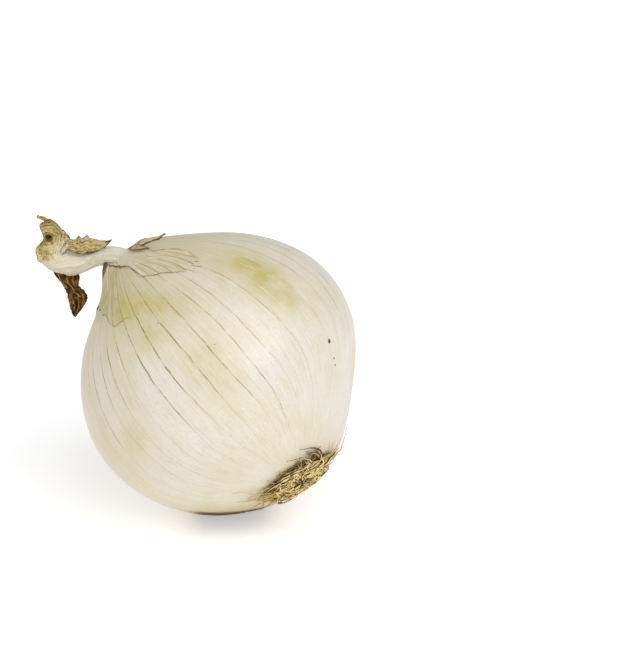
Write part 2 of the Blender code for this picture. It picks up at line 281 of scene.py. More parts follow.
# %% Meshes from rows of points
def grid_mesh(name, rows, wrap=False, poles=(None, None), stored=None):
    """A smooth mesh over rows of points; a pole closes the first or last row to one point.
    stored holds the values that its material reads, one for each point of the rows."""
    count, across = rows.shape[:2]
    points = rows.reshape(-1, 3)
    index = np.arange(count * across).reshape(count, across)
    if wrap:
        index = np.hstack([index, index[:, :1]])
    corners = [index[:-1, :-1], index[:-1, 1:], index[1:, 1:], index[1:, :-1]]
    faces = np.stack(corners, -1).reshape(-1, 4).tolist()
    for pole, ring in ((poles[0], index[0][::-1]), (poles[1], index[-1])):
        if pole is not None:
            faces += [(len(points), int(a), int(b)) for a, b in zip(ring[:-1], ring[1:])]
            points = np.vstack([points, pole])
    mesh = bpy.data.meshes.new(name)
    mesh.from_pydata(points.tolist(), [], faces)
    for key_name, values in (stored or {}).items():
        vector = values.ndim == 3
        flat = values.reshape(count * across, -1)
        for pole, ring in ((poles[0], 0), (poles[1], -1)):
            if pole is not None:
                flat = np.vstack([flat, values[ring].reshape(across, -1).mean(0)])
        layer = mesh.attributes.new(key_name, "FLOAT_VECTOR" if vector else "FLOAT", "POINT")
        layer.data.foreach_set("vector" if vector else "value", flat.astype(np.float32).ravel())
    mesh.shade_smooth()
    piece = bpy.data.objects.new(name, mesh)
    scene.collection.objects.link(piece)
    return piece


print("rows of points can be meshed")

# %% [markdown]
# ## Geometry trees and plain meshes
# A geometry tree changes or grows a piece while its modifier is live. The evaluated result is kept as a plain
# mesh, and the modifier is removed, so that the piece holds the final surface.

# %% Geometry trees and plain meshes
def settle(piece):
    """Turn a piece with live modifiers into a plain mesh."""
    bpy.context.view_layer.update()
    graph = bpy.context.evaluated_depsgraph_get()
    mesh = bpy.data.meshes.new_from_object(piece.evaluated_get(graph), preserve_all_data_layers=True,
                                           depsgraph=graph)
    piece.modifiers.clear()
    old, piece.data = piece.data, mesh
    name = old.name
    bpy.data.meshes.remove(old)
    mesh.name = name
    mesh.calc_loop_triangles()
    print(piece.name, len(mesh.loop_triangles), "triangles")
    return piece


def grow(piece, tree, sizes):
    """Run a geometry tree on a piece with these sizes, and keep the result as a plain mesh."""
    modifier = piece.modifiers.new("growth", "NODES")
    modifier.node_group = tree
    for item in tree.interface.items_tree:
        if item.in_out == "INPUT" and item.name in sizes:
            modifier[item.identifier] = sizes[item.name]
    return settle(piece)


def new_geometry_tree(name, sizes):
    """A geometry tree with named inputs; returns it, its input sockets and its output node."""
    tree = bpy.data.node_groups.new(name, "GeometryNodeTree")
    tree.interface.new_socket("Geometry", in_out="INPUT", socket_type="NodeSocketGeometry")
    tree.interface.new_socket("Geometry", in_out="OUTPUT", socket_type="NodeSocketGeometry")
    for size_name, kind in sizes.items():
        tree.interface.new_socket(size_name, in_out="INPUT", socket_type="NodeSocket" + kind)
    return tree, add(tree, "NodeGroupInput").outputs, add(tree, "NodeGroupOutput")


def stored_value(tree, name):
    """A value that the points carry."""
    node = add(tree, "GeometryNodeInputNamedAttribute", {"Name": name}, data_type="FLOAT")
    return node.outputs["Attribute"]


def end_tree(tree, geometry, material, output):
    """Realize everything and give it its material."""
    real = add(tree, "GeometryNodeRealizeInstances", {"Geometry": geometry}).outputs[0]
    painted = add(tree, "GeometryNodeSetMaterial", {"Geometry": real, "Material": material}).outputs[0]
    tree.links.new(painted, output.inputs["Geometry"])


def dress(piece, node):
    """Hang a finished piece on the root body, and hide the CAD node that it stands for."""
    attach(piece, "root")
    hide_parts(node)


print("tree helpers ready")

# %% [markdown]
# ## The veins
# Fine yellow-brown veins run from neck to root, about eight degrees apart. Those that face the camera were
# measured as a side, where each begins and ends along the depth, and a strength; the others are drawn by lot.
# A narrow band of mesh columns follows every vein, so its colour and its low ridge stay crisp.

# %% Veins
VEINS = ((343, 97, 122, 0.4), (327, 70, 126, 0.6), (316, 70, 137, 0.5), (308, 34, 145, 0.6),
         (300, 62, 149, 0.78), (291, 75, 137, 1.0), (282.5, 79, 133, 1.3), (274, 76, 133, 1.1),
         (265, 104, 133, 1.0), (258, 96, 131, 1.15), (251, 96, 131, 1.05), (242, 87, 136, 0.95),
         (235, 104, 134, 0.75), (227, 108, 135, 0.7))
VEIN_SPACING = 8.4
VEIN_RANGES = ((55, 95), (122, 140), (0.3, 0.85))       # start, end and strength of a vein drawn by lot
VEIN_SEED = 5

chance = np.random.default_rng(VEIN_SEED)
veins = list(VEINS)
side = VEINS[0][0] + VEIN_SPACING
while side < VEINS[-1][0] + 360 - 0.6 * VEIN_SPACING:
    veins.append((side % 360, *(chance.uniform(*limits) for limits in VEIN_RANGES)))
    side += VEIN_SPACING * chance.uniform(0.85, 1.15)
veins = np.array(sorted(veins))
print(len(veins), "veins")

# %% [markdown]
# ## Columns and courses
# On the real bulb a vein wanders a little and fades out towards both ends. Evenly spaced columns would cut
# across such lines and blur them, so five columns keep to each vein and the others share the skin between.

# %% Bulb columns and rows
BULB_ROWS = 150
VEIN_HALF = 0.42                        # degrees from a vein's middle to its foot
FILL_STEP = 1.9                         # degrees between columns where no vein runs
COLUMN_OFFSETS = (-1, -0.45, 0, 0.45, 1)
COLUMN_WEIGHTS = (0, 0.6, 1, 0.6, 0)


def lay_columns(fill_step):
    """Mesh columns: the vein each follows, the share of the way to the next, an offset and a weight."""
    columns = []
    for number, (start, following) in enumerate(zip(veins[:, 0], [*veins[1:, 0], veins[0, 0] + 360])):
        for offset, weight in zip(COLUMN_OFFSETS, COLUMN_WEIGHTS):
            columns.append((number, 0.0, offset * VEIN_HALF, weight))
        width = following - start
        steps = max(2, round((width - 2 * VEIN_HALF) / fill_step))
        for k in range(1, steps):
            columns.append((number, (VEIN_HALF + (width - 2 * VEIN_HALF) * k / steps) / width, 0.0, 0.0))
    return np.array(columns)


depths = np.linspace(0, 180, BULB_ROWS + 2)[1:-1, None]
columns = lay_columns(FILL_STEP)
print(len(columns), "columns and", BULB_ROWS, "rows")

# %% Vein courses
WANDERS = ((0.45, 3.3, 0), (0.2, 9, 1), (0.08, 31, 2), (0.05, 57, 4))     # degrees, rate, row of the phases
UNEVEN = ((0.3, 17, 3), (0.22, 43, 5))  # share of the strength, rate, row of the phases
FADE_IN, FADE_OUT = 14, 5               # degrees of depth over which a vein appears and ends
FAINT, FAINT_START, FAINT_END = 0.16, 22, 172    # strength and ends of the trace that every vein leaves
GRAIN_LENGTH = 0.3                      # root to neck in the fibres' pattern, where once round it is 2 pi

phases = chance.uniform(0, 2 * np.pi, (6, len(veins)))


def waves_along(waves, number, depth):
    """A sum of sine waves along a vein, each with its own phase."""
    return sum(size * np.sin(rate * np.radians(depth) + phases[row, number]) for size, rate, row in waves)


def vein_strength(number, depth):
    """Strength of a vein at every depth, with soft ends and uneven places."""
    start, end, strength = veins[number, 1], veins[number, 2], veins[number, 3]
    body = np.clip((depth - start) / FADE_IN, 0, 1) * np.clip((end - depth) / FADE_OUT, 0, 1)
    body = body * np.clip(0.5 + (depth - start) / 70, 0, 1)       # fainter towards the roots
    faint = FAINT * np.clip((depth - FAINT_START) / 30, 0, 1) * np.clip((FAINT_END - depth) / 20, 0, 1)
    uneven = 0.78 + waves_along(UNEVEN, number, depth)
    return np.maximum(strength * body * np.clip(uneven, 0.15, 1), faint)


def column_places(columns, depth):
    """Side, vein strength, rib height and grain of every column at these depths."""
    own, share, weight = columns[:, 0].astype(int), columns[:, 1], columns[:, 3]
    following = (own + 1) % len(veins)
    spacing = (veins[following, 0] - veins[own, 0]) % 360
    strays = (1 - share) * waves_along(WANDERS, own, depth) + share * waves_along(WANDERS, following, depth)
    sides = veins[own, 0] + share * spacing + columns[:, 2] + strays
    turn = np.radians(sides)
    grain = np.stack([np.cos(turn), np.sin(turn), GRAIN_LENGTH * depth / 180 + 0 * sides], -1)
    return sides, weight * vein_strength(own, depth), np.sin(np.pi * share) + 0 * sides, grain


sides, vein, rib, grain = column_places(columns, depths)
print("strongest vein", vein.max().round(2))

# %% [markdown]
# ## Stains
# The bulb has soft yellow-green stains where an outer layer thins, most of them near its top. Each is a
# depth, a side, a spread in degrees and a strength. They are stored on the mesh, so that the collar's finish
# can read the same ones.

# %% Stains and bulb mesh
STAINS = ((106, 338, 9, 1.15), (114, 340, 9, 1.05), (97, 337, 8, 0.9), (88, 343, 9, 0.3),
          (122, 333, 8, 0.45), (103, 348, 8, 0.4), (131, 288, 9, 0.95), (126, 294, 9, 0.9),
          (121, 300, 9, 0.55), (105, 231, 22, 0.3), (121, 285, 7, 0.7), (136, 280, 8, 0.85),
          (96, 298, 11, 0.45), (94, 249, 12, 0.35), (110, 60, 12, 0.8), (100, 140, 14, 0.6),
          (118, 190, 12, 0.5), (80, 90, 12, 0.4), (56, 229, 9, 0.4), (44, 224, 10, 0.6), (30, 212, 11, 0.6))


def stain_at(depth, side):
    """How stained the skin is."""
    total = 0 * side
    for at, facing, spread, strength in STAINS:
        away = ((depth - at) ** 2 + (apart(side, facing) * np.sin(np.radians(at))) ** 2) / spread ** 2
        total = np.maximum(total, strength * np.exp(-away))
    return total


bulb = grid_mesh("white_bulb", on_bulb(depths, sides), wrap=True, poles=(on_bulb(0, 0), on_bulb(180, 0)),
                 stored={"vein": vein, "rib": rib, "grain": grain, "stain": stain_at(depths, sides),
                         "along": depths / 180 + 0 * sides})
print(len(bulb.data.vertices), "points on the bulb")

# %% [markdown]
# ## The bulb's finish
# The skin is ivory and waxy with a little light in its depth. Fine fibres run from neck to root, the crown is
# yellower than the belly, and veins, stains and a few dark specks lie on it. Low down, where it rests on the
# table, a painted golden band of warm bounced light and shade darkens into a painted brown contact shadow.
# The fibres read stored coordinates that run along the bulb, so they meet at the neck as real ones do.

# %% Bulb finish
IVORY, CREAM = linear(220, 213, 201), linear(214, 206, 182)
CROWN_TINT, BASE_TINT = linear(200, 189, 146), linear(208, 192, 148)
STAIN_TINT, VEIN_TINT, SPECK_TINT = linear(191, 176, 98), linear(152, 119, 32), linear(48, 30, 10)
FLECK_TINT, FIBRE_DARK, FIBRE_LIGHT = linear(206, 193, 142), linear(196, 183, 140), linear(232, 227, 216)
SPECKS = ((70, 344, 0.75), (62, 346, 0.4), (59, 347, 0.4),       # depth, side, mm
          (130, 284, 0.18), (121, 290, 0.2), (100, 302, 0.2))
FIBRE_SCALE, CLOUD_SCALE, BLOTCH_SCALE, BREAK_SCALE, FLECK_SCALE = 55, 60, 210, 600, 1500    # coarse to fine
# Painted contact shadow low on the bulb, centred this far along x: a golden band of painted warm bounce and
# shade, then a dark brown line.
CONTACT_SHADE_MIDDLE = 5                        # mm along x
CONTACT_SHADE_MARKS = ((linear(188, 160, 84), 0.75, (12, 5), (22, 8)),   # tint, strength, and the mm of height and of
               (linear(66, 42, 14), 0.97, (8.2, 6.2), (14, 8)))  # width between which it grows to that


def skin_colour(tree, place):
    """The waxy skin's colour, its fibres and clouds, and where the painted contact shadow is."""
    along = attribute(tree, "along")
    fibres = noise(tree, attribute(tree, "grain", "Vector"), FIBRE_SCALE, 4, 0.6)
    clouds = noise(tree, place, CLOUD_SCALE, 4, 0.55)
    colour = blend(tree, between(tree, clouds, 0.35, 0.7), IVORY, CREAM)
    colour = blend(tree, between(tree, along, 0.6, 0.86, 0, 0.75), colour, CROWN_TINT)
    colour = blend(tree, between(tree, along, 0.17, 0.07, 0, 0.8), colour, BASE_TINT)
    blotch = noise(tree, place, BLOTCH_SCALE, 3, 0.6)
    stained = calc(tree, "MULTIPLY", attribute(tree, "stain"), between(tree, blotch, 0.3, 0.62, 0.5, 1))
    colour = blend(tree, stained, colour, STAIN_TINT)
    colour = blend(tree, between(tree, fibres, 0.5, 0.75, 0, 0.45), colour, FIBRE_DARK)
    colour = blend(tree, between(tree, fibres, 0.5, 0.25, 0, 0.35), colour, FIBRE_LIGHT)
    flecks = noise(tree, place, FLECK_SCALE, 2, 0.5)
    colour = blend(tree, between(tree, flecks, 0.5, 0.72, 0, 0.4), colour, FLECK_TINT)
    broken = between(tree, noise(tree, place, BREAK_SCALE, 2, 0.5), 0.34, 0.5, 0.35, 1)
    veined = calc(tree, "MULTIPLY", attribute(tree, "vein"), calc(tree, "MULTIPLY", broken, 1.25), clamp=True)
    colour = blend(tree, veined, colour, VEIN_TINT)
    for depth, side, size in SPECKS:
        speck = {0: place, 1: tuple(on_bulb(depth, side))}
        away = add(tree, "ShaderNodeVectorMath", speck, operation="DISTANCE").outputs["Value"]
        colour = blend(tree, between(tree, away, size * 1.15 * MM, size * 0.6 * MM), colour, SPECK_TINT)
    # Painted contact shadow: golden, then dark brown, lower down on the bulb and near where it rests.
    where = add(tree, "ShaderNodeSeparateXYZ", {0: place}).outputs
    aside = calc(tree, "ABSOLUTE", calc(tree, "SUBTRACT", where[0], CONTACT_SHADE_MIDDLE * MM))
    for tint, strength, (high, low), (outer, inner) in CONTACT_SHADE_MARKS:
        contact_shade = calc(tree, "MULTIPLY", between(tree, where[2], high * MM, low * MM, 0, strength),
                      between(tree, aside, outer * MM, inner * MM))
        colour = blend(tree, contact_shade, colour, tint)
    return colour, fibres, clouds, contact_shade


bulb_finish, tree, shader, place = finish_material("waxy_white_skin", roughness=0.36, specular=0.62)
colour, fibres, clouds, contact_shade = skin_colour(tree, place)
tree.links.new(colour, shader.inputs["Base Color"])
waxy = between(tree, clouds, 0.3, 0.7, 0.32, 0.44)
tree.links.new(calc(tree, "MAXIMUM", waxy, contact_shade), shader.inputs["Roughness"])
let_light_in(shader, weight=0.12, radius=(1.0, 0.7, 0.35), scale=3 * MM)
raise_surface(tree, shader, fibres, distance=0.12 * MM, strength=0.6)
print("bulb finish with", len(tree.nodes), "nodes")

# %% [markdown]
# ## The bulb's relief
# A geometry tree lifts each vein into a low ridge, lets the skin between two veins swell a little, and adds
# slow waves, because no onion is as even as its rule. The flat spot under the bulb stays on the table.

# %% Bulb relief
relief, given, output = new_geometry_tree("bulb_relief", {
    "Vein Rise": "Float", "Rib Swell": "Float", "Wave Height": "Float", "Wave Scale": "Float",
    "Seed": "Float", "Finish": "Material"})
waves = add(relief, "ShaderNodeTexNoise", {"W": given["Seed"], "Scale": given["Wave Scale"], "Detail": 2.0},
            noise_dimensions="4D").outputs[0]
lift = calc(relief, "MULTIPLY", stored_value(relief, "vein"), given["Vein Rise"])
lift = calc(relief, "ADD", lift, calc(relief, "MULTIPLY", stored_value(relief, "rib"), given["Rib Swell"]))
lift = calc(relief, "ADD", lift, calc(relief, "MULTIPLY", calc(relief, "SUBTRACT", waves, 0.5),
                                      given["Wave Height"]))
normal = add(relief, "GeometryNodeInputNormal").outputs[0]
offset = add(relief, "ShaderNodeVectorMath", {0: normal, "Scale": lift}, operation="SCALE").outputs[0]
moved = add(relief, "GeometryNodeSetPosition", {"Geometry": given["Geometry"], "Offset": offset}).outputs[0]
where = add(relief, "ShaderNodeSeparateXYZ", {0: add(relief, "GeometryNodeInputPosition").outputs[0]}).outputs
above = calc(relief, "MAXIMUM", where[2], 0.0)
flat = add(relief, "ShaderNodeCombineXYZ", {0: where[0], 1: where[1], 2: above}).outputs[0]
rested = add(relief, "GeometryNodeSetPosition", {"Geometry": moved, "Position": flat}).outputs[0]
end_tree(relief, rested, given["Finish"], output)
RELIEF = {"Vein Rise": 0.05 * MM, "Rib Swell": 0.08 * MM, "Wave Height": 0.5 * MM, "Wave Scale": 55.0,
          "Seed": 3.0}
grow(bulb, relief, {**RELIEF, "Finish": bulb_finish})
dress(bulb, "bulb")

# %% [markdown]
# ## The torn collar
# When an onion dries, its outermost skin splits off along a ragged line below the neck. What stays is a thin
# collar that clings to the bulb, stands off where it has dried, and darkens along the tear. It is a sheet
# laid over the bulb's rule, with its edge at measured places, a wavering tear, and pleats towards the neck.

# %% Collar edge
COLLAR_EDGE = ((3, 24), (14, 25.4), (20, 25), (30, 22), (45, 21), (62, 25), (80, 31), (100, 29), (120, 35),
               (150, 33), (165, 30), (185, 33), (205, 28), (227, 31),
               (240, 33.5), (250, 36.5), (255.3, 38.1), (258.9, 40.6), (263.1, 44), (265.8, 45.9),
               (269.1, 46.9), (272.4, 47.6), (275, 47.7), (277.5, 48.6), (282.3, 50.7), (286.2, 49.5),
               (290.7, 46.6), (294.3, 42.8), (297, 37.4), (299, 30), (302, 22), (330, 17), (345, 17),
               (350, 18.3), (352.5, 20.5), (358.8, 22))
RIM_BOLDNESS = ((0, 2.0), (8, 2.2), (14, 3.2), (26, 3.0), (34, 1.0), (40, 0.5), (80, 0.9), (120, 0.5),
                (160, 0.8), (205, 0.5), (240, 0.35), (262, 0.42), (275, 0.3), (280, 0), (335, 0), (346, 2.0))
COLLAR_STEP, COLLAR_ROWS = 0.75, 46     # degrees between columns, rows
COLLAR_LEVEL = 140.0                    # the depth at which the columns' sides are read for the tear
NECK_START = 10                         # degrees from the neck's middle
TEAR_SEED, TEAR_TOOTH = 8, 0.5          # the teeth in degrees
FULL_TURN = 6.28                        # radians, near enough for a phase drawn by lot


def rim_distance(rows, rim):
    """Distance of every point from a closed rim of points, in mm."""
    fine = np.concatenate([rim + (np.roll(rim, -1, 0) - rim) * k / 4 for k in range(4)])
    return np.array([np.linalg.norm(row[:, None] - fine[None], axis=-1).min(1) for row in rows]) / MM


def read_round(table, side):
    """A value from a table of (side, value) that runs once round."""
    places, values = np.array(table).T
    return np.interp(side % 360, [*places, places[0] + 360], [*values, values[0]])


def ragged(side, seed, tooth, waves=(23, 61, 149)):
    """A wavering that closes on itself round the bulb, with so many waves of each size."""
    lot = np.random.default_rng(seed)
    turn = np.radians(side)
    return sum(tooth / (k + 1)
               * np.sin(number * turn + lot.uniform(0, FULL_TURN) + 0.7 * np.sin(5 * turn + k))
               for k, number in enumerate(waves))


def bump_at(side, facing, spread):
    """1 at one side, fading over this many degrees both ways."""
    return np.exp(-(apart(side, facing) / spread) ** 2)


collar_columns = lay_columns(COLLAR_STEP)
around = column_places(collar_columns, np.array([[COLLAR_LEVEL]]))[0][0]
collar_edge = read_round(COLLAR_EDGE, around) + ragged(around, TEAR_SEED, TEAR_TOOTH)
print("collar reaches", collar_edge.min().round(1), "to", collar_edge.max().round(1), "degrees from the neck")

# %% Collar height
SKIN_THICKNESS = 0.16 * MM
CLING = 0.2 * MM                        # least height over the bulb
STAND_OFF, NECK_RISE = 0.12, 0.6        # mm more inside the tear, and at the neck
FLARES = ((2.4, 228, 34, 11, 8.5), (0.25, 0, 50, 17, 9))    # mm, then side and spread, reach and spread


def collar_lift(reach, edge, side):
    """Height of the collar over the bulb at this angle from the neck."""
    share = 1 - np.minimum(reach / edge, 1)
    lift = CLING + MM * (STAND_OFF + NECK_RISE * share) * np.clip(4 * share, 0, 1)
    for height, facing, spread, at, wide in FLARES:
        near = np.exp(-(apart(side, facing) / spread) ** 2 - ((reach - at) / wide) ** 2)
        lift = lift + height * MM * near * np.clip(3 * share + 0.3, 0, 1)
    return lift


def pleats(side, reach, seed, height):
    """Fine lengthwise folds that fade from the neck to the edge."""
    folds = ragged(side, seed, 1.0, (34, 55, 89, 144))
    return height * folds * np.clip(1.25 - reach / 48, 0.25, 1)


print("height of the collar 20 degrees from the neck", (collar_lift(20, 40, 0) / MM).round(2), "mm")

# %% [markdown]
# ## The collar's sheet
# The dried edge curls up here and there, and one torn corner stands up beside the neck, with painted shade
# in the slit beside it. Along the front the skin is whole: there the sheet sinks into the bulb and takes on
# its colour, so that no edge is seen.

# %% Collar sheet
CORNER_LIFT, CORNER_LIFT_SIDE, CORNER_LIFT_SPREAD = 0.8 * MM, 228, 16     # the torn corner beside the neck
# Painted shade: near this side the brown top rim is widened, as the shadow in the slit between the torn
# corner and the neck.
CORNER_SHADE_SIDE, CORNER_SHADE_SPREAD, CORNER_SHADE_STRENGTH = 234, 13, 24
BACK_CURL, BACK_CURL_SIDE, BACK_CURL_SPREAD = 0.7, 15, 4          # mm, then degrees
RIM_CURL, CURL_WIDTH = 0.25, 1.2 * MM   # mm of height, and how far in from the tear it fades
CURL_SEED, CURL_WAVES = 21, (3, 7, 12)
COLLAR_PLEAT_SEED, COLLAR_PLEAT = 4, 0.07 * MM
WHOLE_START, WHOLE_END = 274, 336       # the sides between which it is still part of the bulb
SINK, SINK_WIDTH = 0.1 * MM, 2.5 * MM   # how deep and how far in it sinks there

steps = np.linspace(1, 0, COLLAR_ROWS)[:, None] ** 0.9
reach = NECK_START + (collar_edge - NECK_START) * steps
curl = np.clip(0.35 + ragged(around, CURL_SEED, 0.5, CURL_WAVES), 0, 1.3)
curl = RIM_CURL * curl + BACK_CURL * bump_at(around, BACK_CURL_SIDE, BACK_CURL_SPREAD)
to_edge = (collar_edge - reach) * np.radians(1) * RADIUS      # metres from the tear
lift = collar_lift(reach, collar_edge, around) + pleats(around, reach, COLLAR_PLEAT_SEED, COLLAR_PLEAT)
lift = lift + curl * MM * np.exp(-to_edge / CURL_WIDTH)
lip = bump_at(around, CORNER_LIFT_SIDE, CORNER_LIFT_SPREAD) * np.exp(-(reach - NECK_START) / 3.5)
lift = lift + CORNER_LIFT * lip
whole = np.clip((around % 360 - WHOLE_START) / 11, 0, 1) * (around % 360 < WHOLE_END)
lift = lift - (lift + SINK) * whole * np.exp(-to_edge / SINK_WIDTH) - SINK * whole
collar_sides, collar_vein, collar_rib, collar_grain = column_places(collar_columns, 180 - reach)
collar_rows = on_bulb(180 - reach, collar_sides, lift)
print("collar sheet", collar_rows.shape[:2], "rows and columns")

# %% Collar mesh
rim = rim_distance(collar_rows, collar_rows[0])
# The top rim, widened by painted shade at the torn corner.
corner_shade = bump_at(around, CORNER_SHADE_SIDE, CORNER_SHADE_SPREAD)
top_rim = (rim_distance(collar_rows, collar_rows[-1]) / (1 + CORNER_SHADE_STRENGTH * corner_shade)
           + 0.12 * np.clip(np.abs(apart(around, CORNER_SHADE_SIDE)) - 18, 0, None))
collar = grid_mesh("dry_collar", collar_rows, wrap=True, stored={
    "edge": np.minimum(rim, top_rim), "grain": collar_grain, "valley": 0 * reach, "rib": collar_rib,
    "bold": np.maximum(read_round(RIM_BOLDNESS, around), lip > 0.1) + 0 * reach,
    "vein": np.maximum(collar_vein, 0.5 * (collar_vein > 0)),
    "base": 0.6 * np.clip(1 - reach / 34, 0, 1) * (lip < 0.3),
    "skin": whole + 0 * reach, "along": (180 - reach) / 180,
    "stain": stain_at(180 - reach, collar_sides)})
print("collar points", len(collar.data.vertices))

# %% [markdown]
# ## The neck
# The neck is what is left of the leaves' stalk: several papery layers twisted into a tube that bends to the
# left, where it widens and tears open. Its root spreads into a tongue that lies over the collar and ends in a
# torn edge. Rows of points run from that edge up over the bulb and out along the measured stations.

# %% Neck rows
NECK_DEPTH = 8.8                        # mm behind the bulb's middle
STATIONS = np.array(((-29.8, 32.3, 3.4, 2.8), (-32.0, 32.9, 3.0, 2.5), (-35.8, 33.0, 2.8, 2.4),
                     (-38.8, 31.9, 2.8, 2.6), (-41.8, 31.0, 3.1, 2.9), (-45.3, 31.2, 3.8, 3.1),
                     (-48.2, 31.3, 3.3, 2.7), (-50.6, 31.3, 2.4, 2.2), (-52.7, 31.8, 1.4, 1.5)))
STATION_BENDS = np.array((0.7, 0.15, 0, 0, 0, 0, 0, 0, 0))        # share by which a ring faces along the bulb
NECK_TIP = np.array([-54.2, 8.6, 32.5]) * MM + MIDDLE
FAN, FAN_COLUMNS = (297, 337), 101      # sides between which the tongue spreads, with finer columns
NECK_STEP = 1.4                         # degrees between the other columns
ROWS_PER_STATION = 12
PLEAT_TWIST = 9                         # degrees from one station to the next


def smooth_rows(keys, places):
    """Rows on smooth curves through the key rows (Catmull-Rom)."""
    last = len(keys) - 1
    k = np.minimum(places.astype(int), last - 1)
    u = (places - k).reshape(-1, *[1] * (keys.ndim - 1))
    a, b, c, d = keys[np.maximum(k - 1, 0)], keys[k], keys[k + 1], keys[np.minimum(k + 2, last)]
    return 0.5 * (2 * b + (c - a) * u + (2 * a - 5 * b + 4 * c - d) * u ** 2
                  + (3 * b - 3 * c + d - a) * u ** 3)


neck_sides = np.concatenate([np.arange(0, FAN[0], NECK_STEP), np.linspace(*FAN, FAN_COLUMNS),
                             np.arange(FAN[1] + NECK_STEP, 360, NECK_STEP)])
turns = np.radians(neck_sides)
places = np.arange(0, len(STATIONS) - 1 + 1e-6, 1 / ROWS_PER_STATION)
stations = smooth_rows(STATIONS, places)
bends = np.clip(smooth_rows(STATION_BENDS, places), 0, 1)
print(len(places), "rows along the neck")

# %% Neck rings
PLEATS = ((5, 0.035), (9, 0.028), (14, 0.022), (23, 0.016), (37, 0.012))      # number round, share of radius


def neck_ring(station, bend, place):
    """One pleated cross-section of the neck, and how deep in a fold each point lies."""
    across, height, half_height, half_width = station
    centre = np.array([across, NECK_DEPTH, height]) * MM + MIDDLE
    facing = bend * AXES[:, 2] + (1 - bend) * np.array([-1, 0, 0])
    facing /= np.linalg.norm(facing)
    deep = AXES[:, 1] - AXES[:, 1] @ facing * facing
    deep /= np.linalg.norm(deep)
    top = np.cross(deep, facing)
    twist = np.radians(place * PLEAT_TWIST)
    folds = sum(size * np.cos(number * (turns + twist) + 0.9 * number + 0.5 * np.sin(1.7 * place + number))
                for number, size in PLEATS)
    wide = (1 + folds * (1 - 0.6 * bend))[:, None]
    ring = centre + MM * wide * (half_height * np.cos(turns)[:, None] * top
                                 + half_width * np.sin(turns)[:, None] * deep)
    return ring, folds


rings = [neck_ring(station, bend, place) for station, bend, place in zip(stations, bends, places)]
ring_points, ring_folds = np.array([r[0] for r in rings]), np.array([r[1] for r in rings])
print("ring rows", ring_points.shape)

# %% [markdown]
# ## The tongue
# Where the neck grows out of the bulb, a tongue of its skin reaches far down the front, like a fan. It is
# loose along its upper edge, where a notch is torn in, and its tip thins out into the bulb's own skin.

# %% Tongue rows
TONGUE_EDGE = ((0, 15), (30, 19), (60, 17), (100, 18), (140, 15), (180, 14), (205, 11.5), (230, 11),
               (250, 12), (266, 13.5), (276, 15.5), (285, 18.4), (295, 22.2), (298, 24), (299.7, 31),
               (300.3, 35), (305.7, 39.8), (310.5, 42.5), (315.9, 46.8), (319.5, 49.5), (321.9, 51.4),
               (325.5, 51.5), (328.5, 50.6), (330.6, 48.3), (332.1, 45.8), (333.5, 42), (335, 21.5),
               (338, 18), (350, 16))
TONGUE_START, TONGUE_ROWS = 13.5, 40
TIP_SIDE, LOOSE_SIDE = 325, 334         # the middle of the fan's tip, and its loose upper edge
NOTCH_TURN, NOTCH_REACH, NOTCH_SPREAD = 9.5, 29, 4.5        # degrees
UPPER_CURL = 0.55 * MM
TONGUE_SEED, TONGUE_TOOTH = 31, 0.35    # the teeth in degrees
TIP_SEED, TIP_TOOTH, TIP_WAVES = 33, 1.6, (97, 151, 211)
TONGUE_PLEAT_SEED, TONGUE_PLEAT = 14, 0.06 * MM

tongue_edge = read_round(TONGUE_EDGE, neck_sides) + ragged(neck_sides, TONGUE_SEED, TONGUE_TOOTH)
tip_teeth = ragged(neck_sides, TIP_SEED, TIP_TOOTH, TIP_WAVES)
tongue_edge = tongue_edge + bump_at(neck_sides, TIP_SIDE, 6) * tip_teeth
steps = np.linspace(1, 0, TONGUE_ROWS)[:, None]
start = np.minimum(TONGUE_START + 10 * bump_at(neck_sides, 312, 22), tongue_edge - 1.5)
reach = start + (tongue_edge - start) * steps
under = read_round(COLLAR_EDGE, neck_sides)                   # the edge of the collar that it lies on
lift = collar_lift(reach, np.maximum(under, tongue_edge + 4), neck_sides)
lift = lift + 0.3 * MM * np.clip((under - reach) / 5 + 1, 0.15, 1)
lift = lift + pleats(neck_sides, reach, TONGUE_PLEAT_SEED, TONGUE_PLEAT)
to_edge = (tongue_edge - reach) * np.radians(1) * RADIUS
loose = 0.04 + 0.4 * bump_at(neck_sides, LOOSE_SIDE, 6)
lift = lift + loose * MM * np.exp(-to_edge / (1.5 * MM))
notch = NOTCH_TURN * np.exp(-((reach - NOTCH_REACH) / NOTCH_SPREAD) ** 2)
notch = notch * np.clip((neck_sides - 312) / 18, 0, 1) * (neck_sides < 350)
curled = np.clip((neck_sides - 318) / 14, 0, 1) * (neck_sides < 334.5)
lift = lift + UPPER_CURL * curled ** 2 * np.exp(-((reach - 30) / 9) ** 2)
tongue = on_bulb(180 - reach, neck_sides - notch, lift)
print("tongue reaches", tongue_edge.max().round(1), "degrees from the neck")

# %% From tongue to neck
JOINT_ROWS = 11
TONGUE_HOLD, RING_HOLD = 8, 9           # rows back on either side, from which the joint takes its direction
PULL_PASSES, PULL_SPREAD = 40, 9.0      # skin pulled tight between bulb and neck; the spread in rows

ends = np.stack([tongue[-TONGUE_HOLD], tongue[-1], ring_points[0], ring_points[RING_HOLD]])
joint = smooth_rows(ends, 1 + np.arange(1, JOINT_ROWS + 1) / (JOINT_ROWS + 1))
neck_rows = np.concatenate([tongue, joint, ring_points])
near_joint = np.exp(-((np.arange(len(neck_rows)) - TONGUE_ROWS - 4) / PULL_SPREAD) ** 2)[1:-1, None, None]
for _ in range(PULL_PASSES):
    neck_rows[1:-1] += 0.5 * near_joint * ((neck_rows[:-2] + neck_rows[2:]) / 2 - neck_rows[1:-1])
print("neck and tongue", neck_rows.shape[:2], "rows and columns")

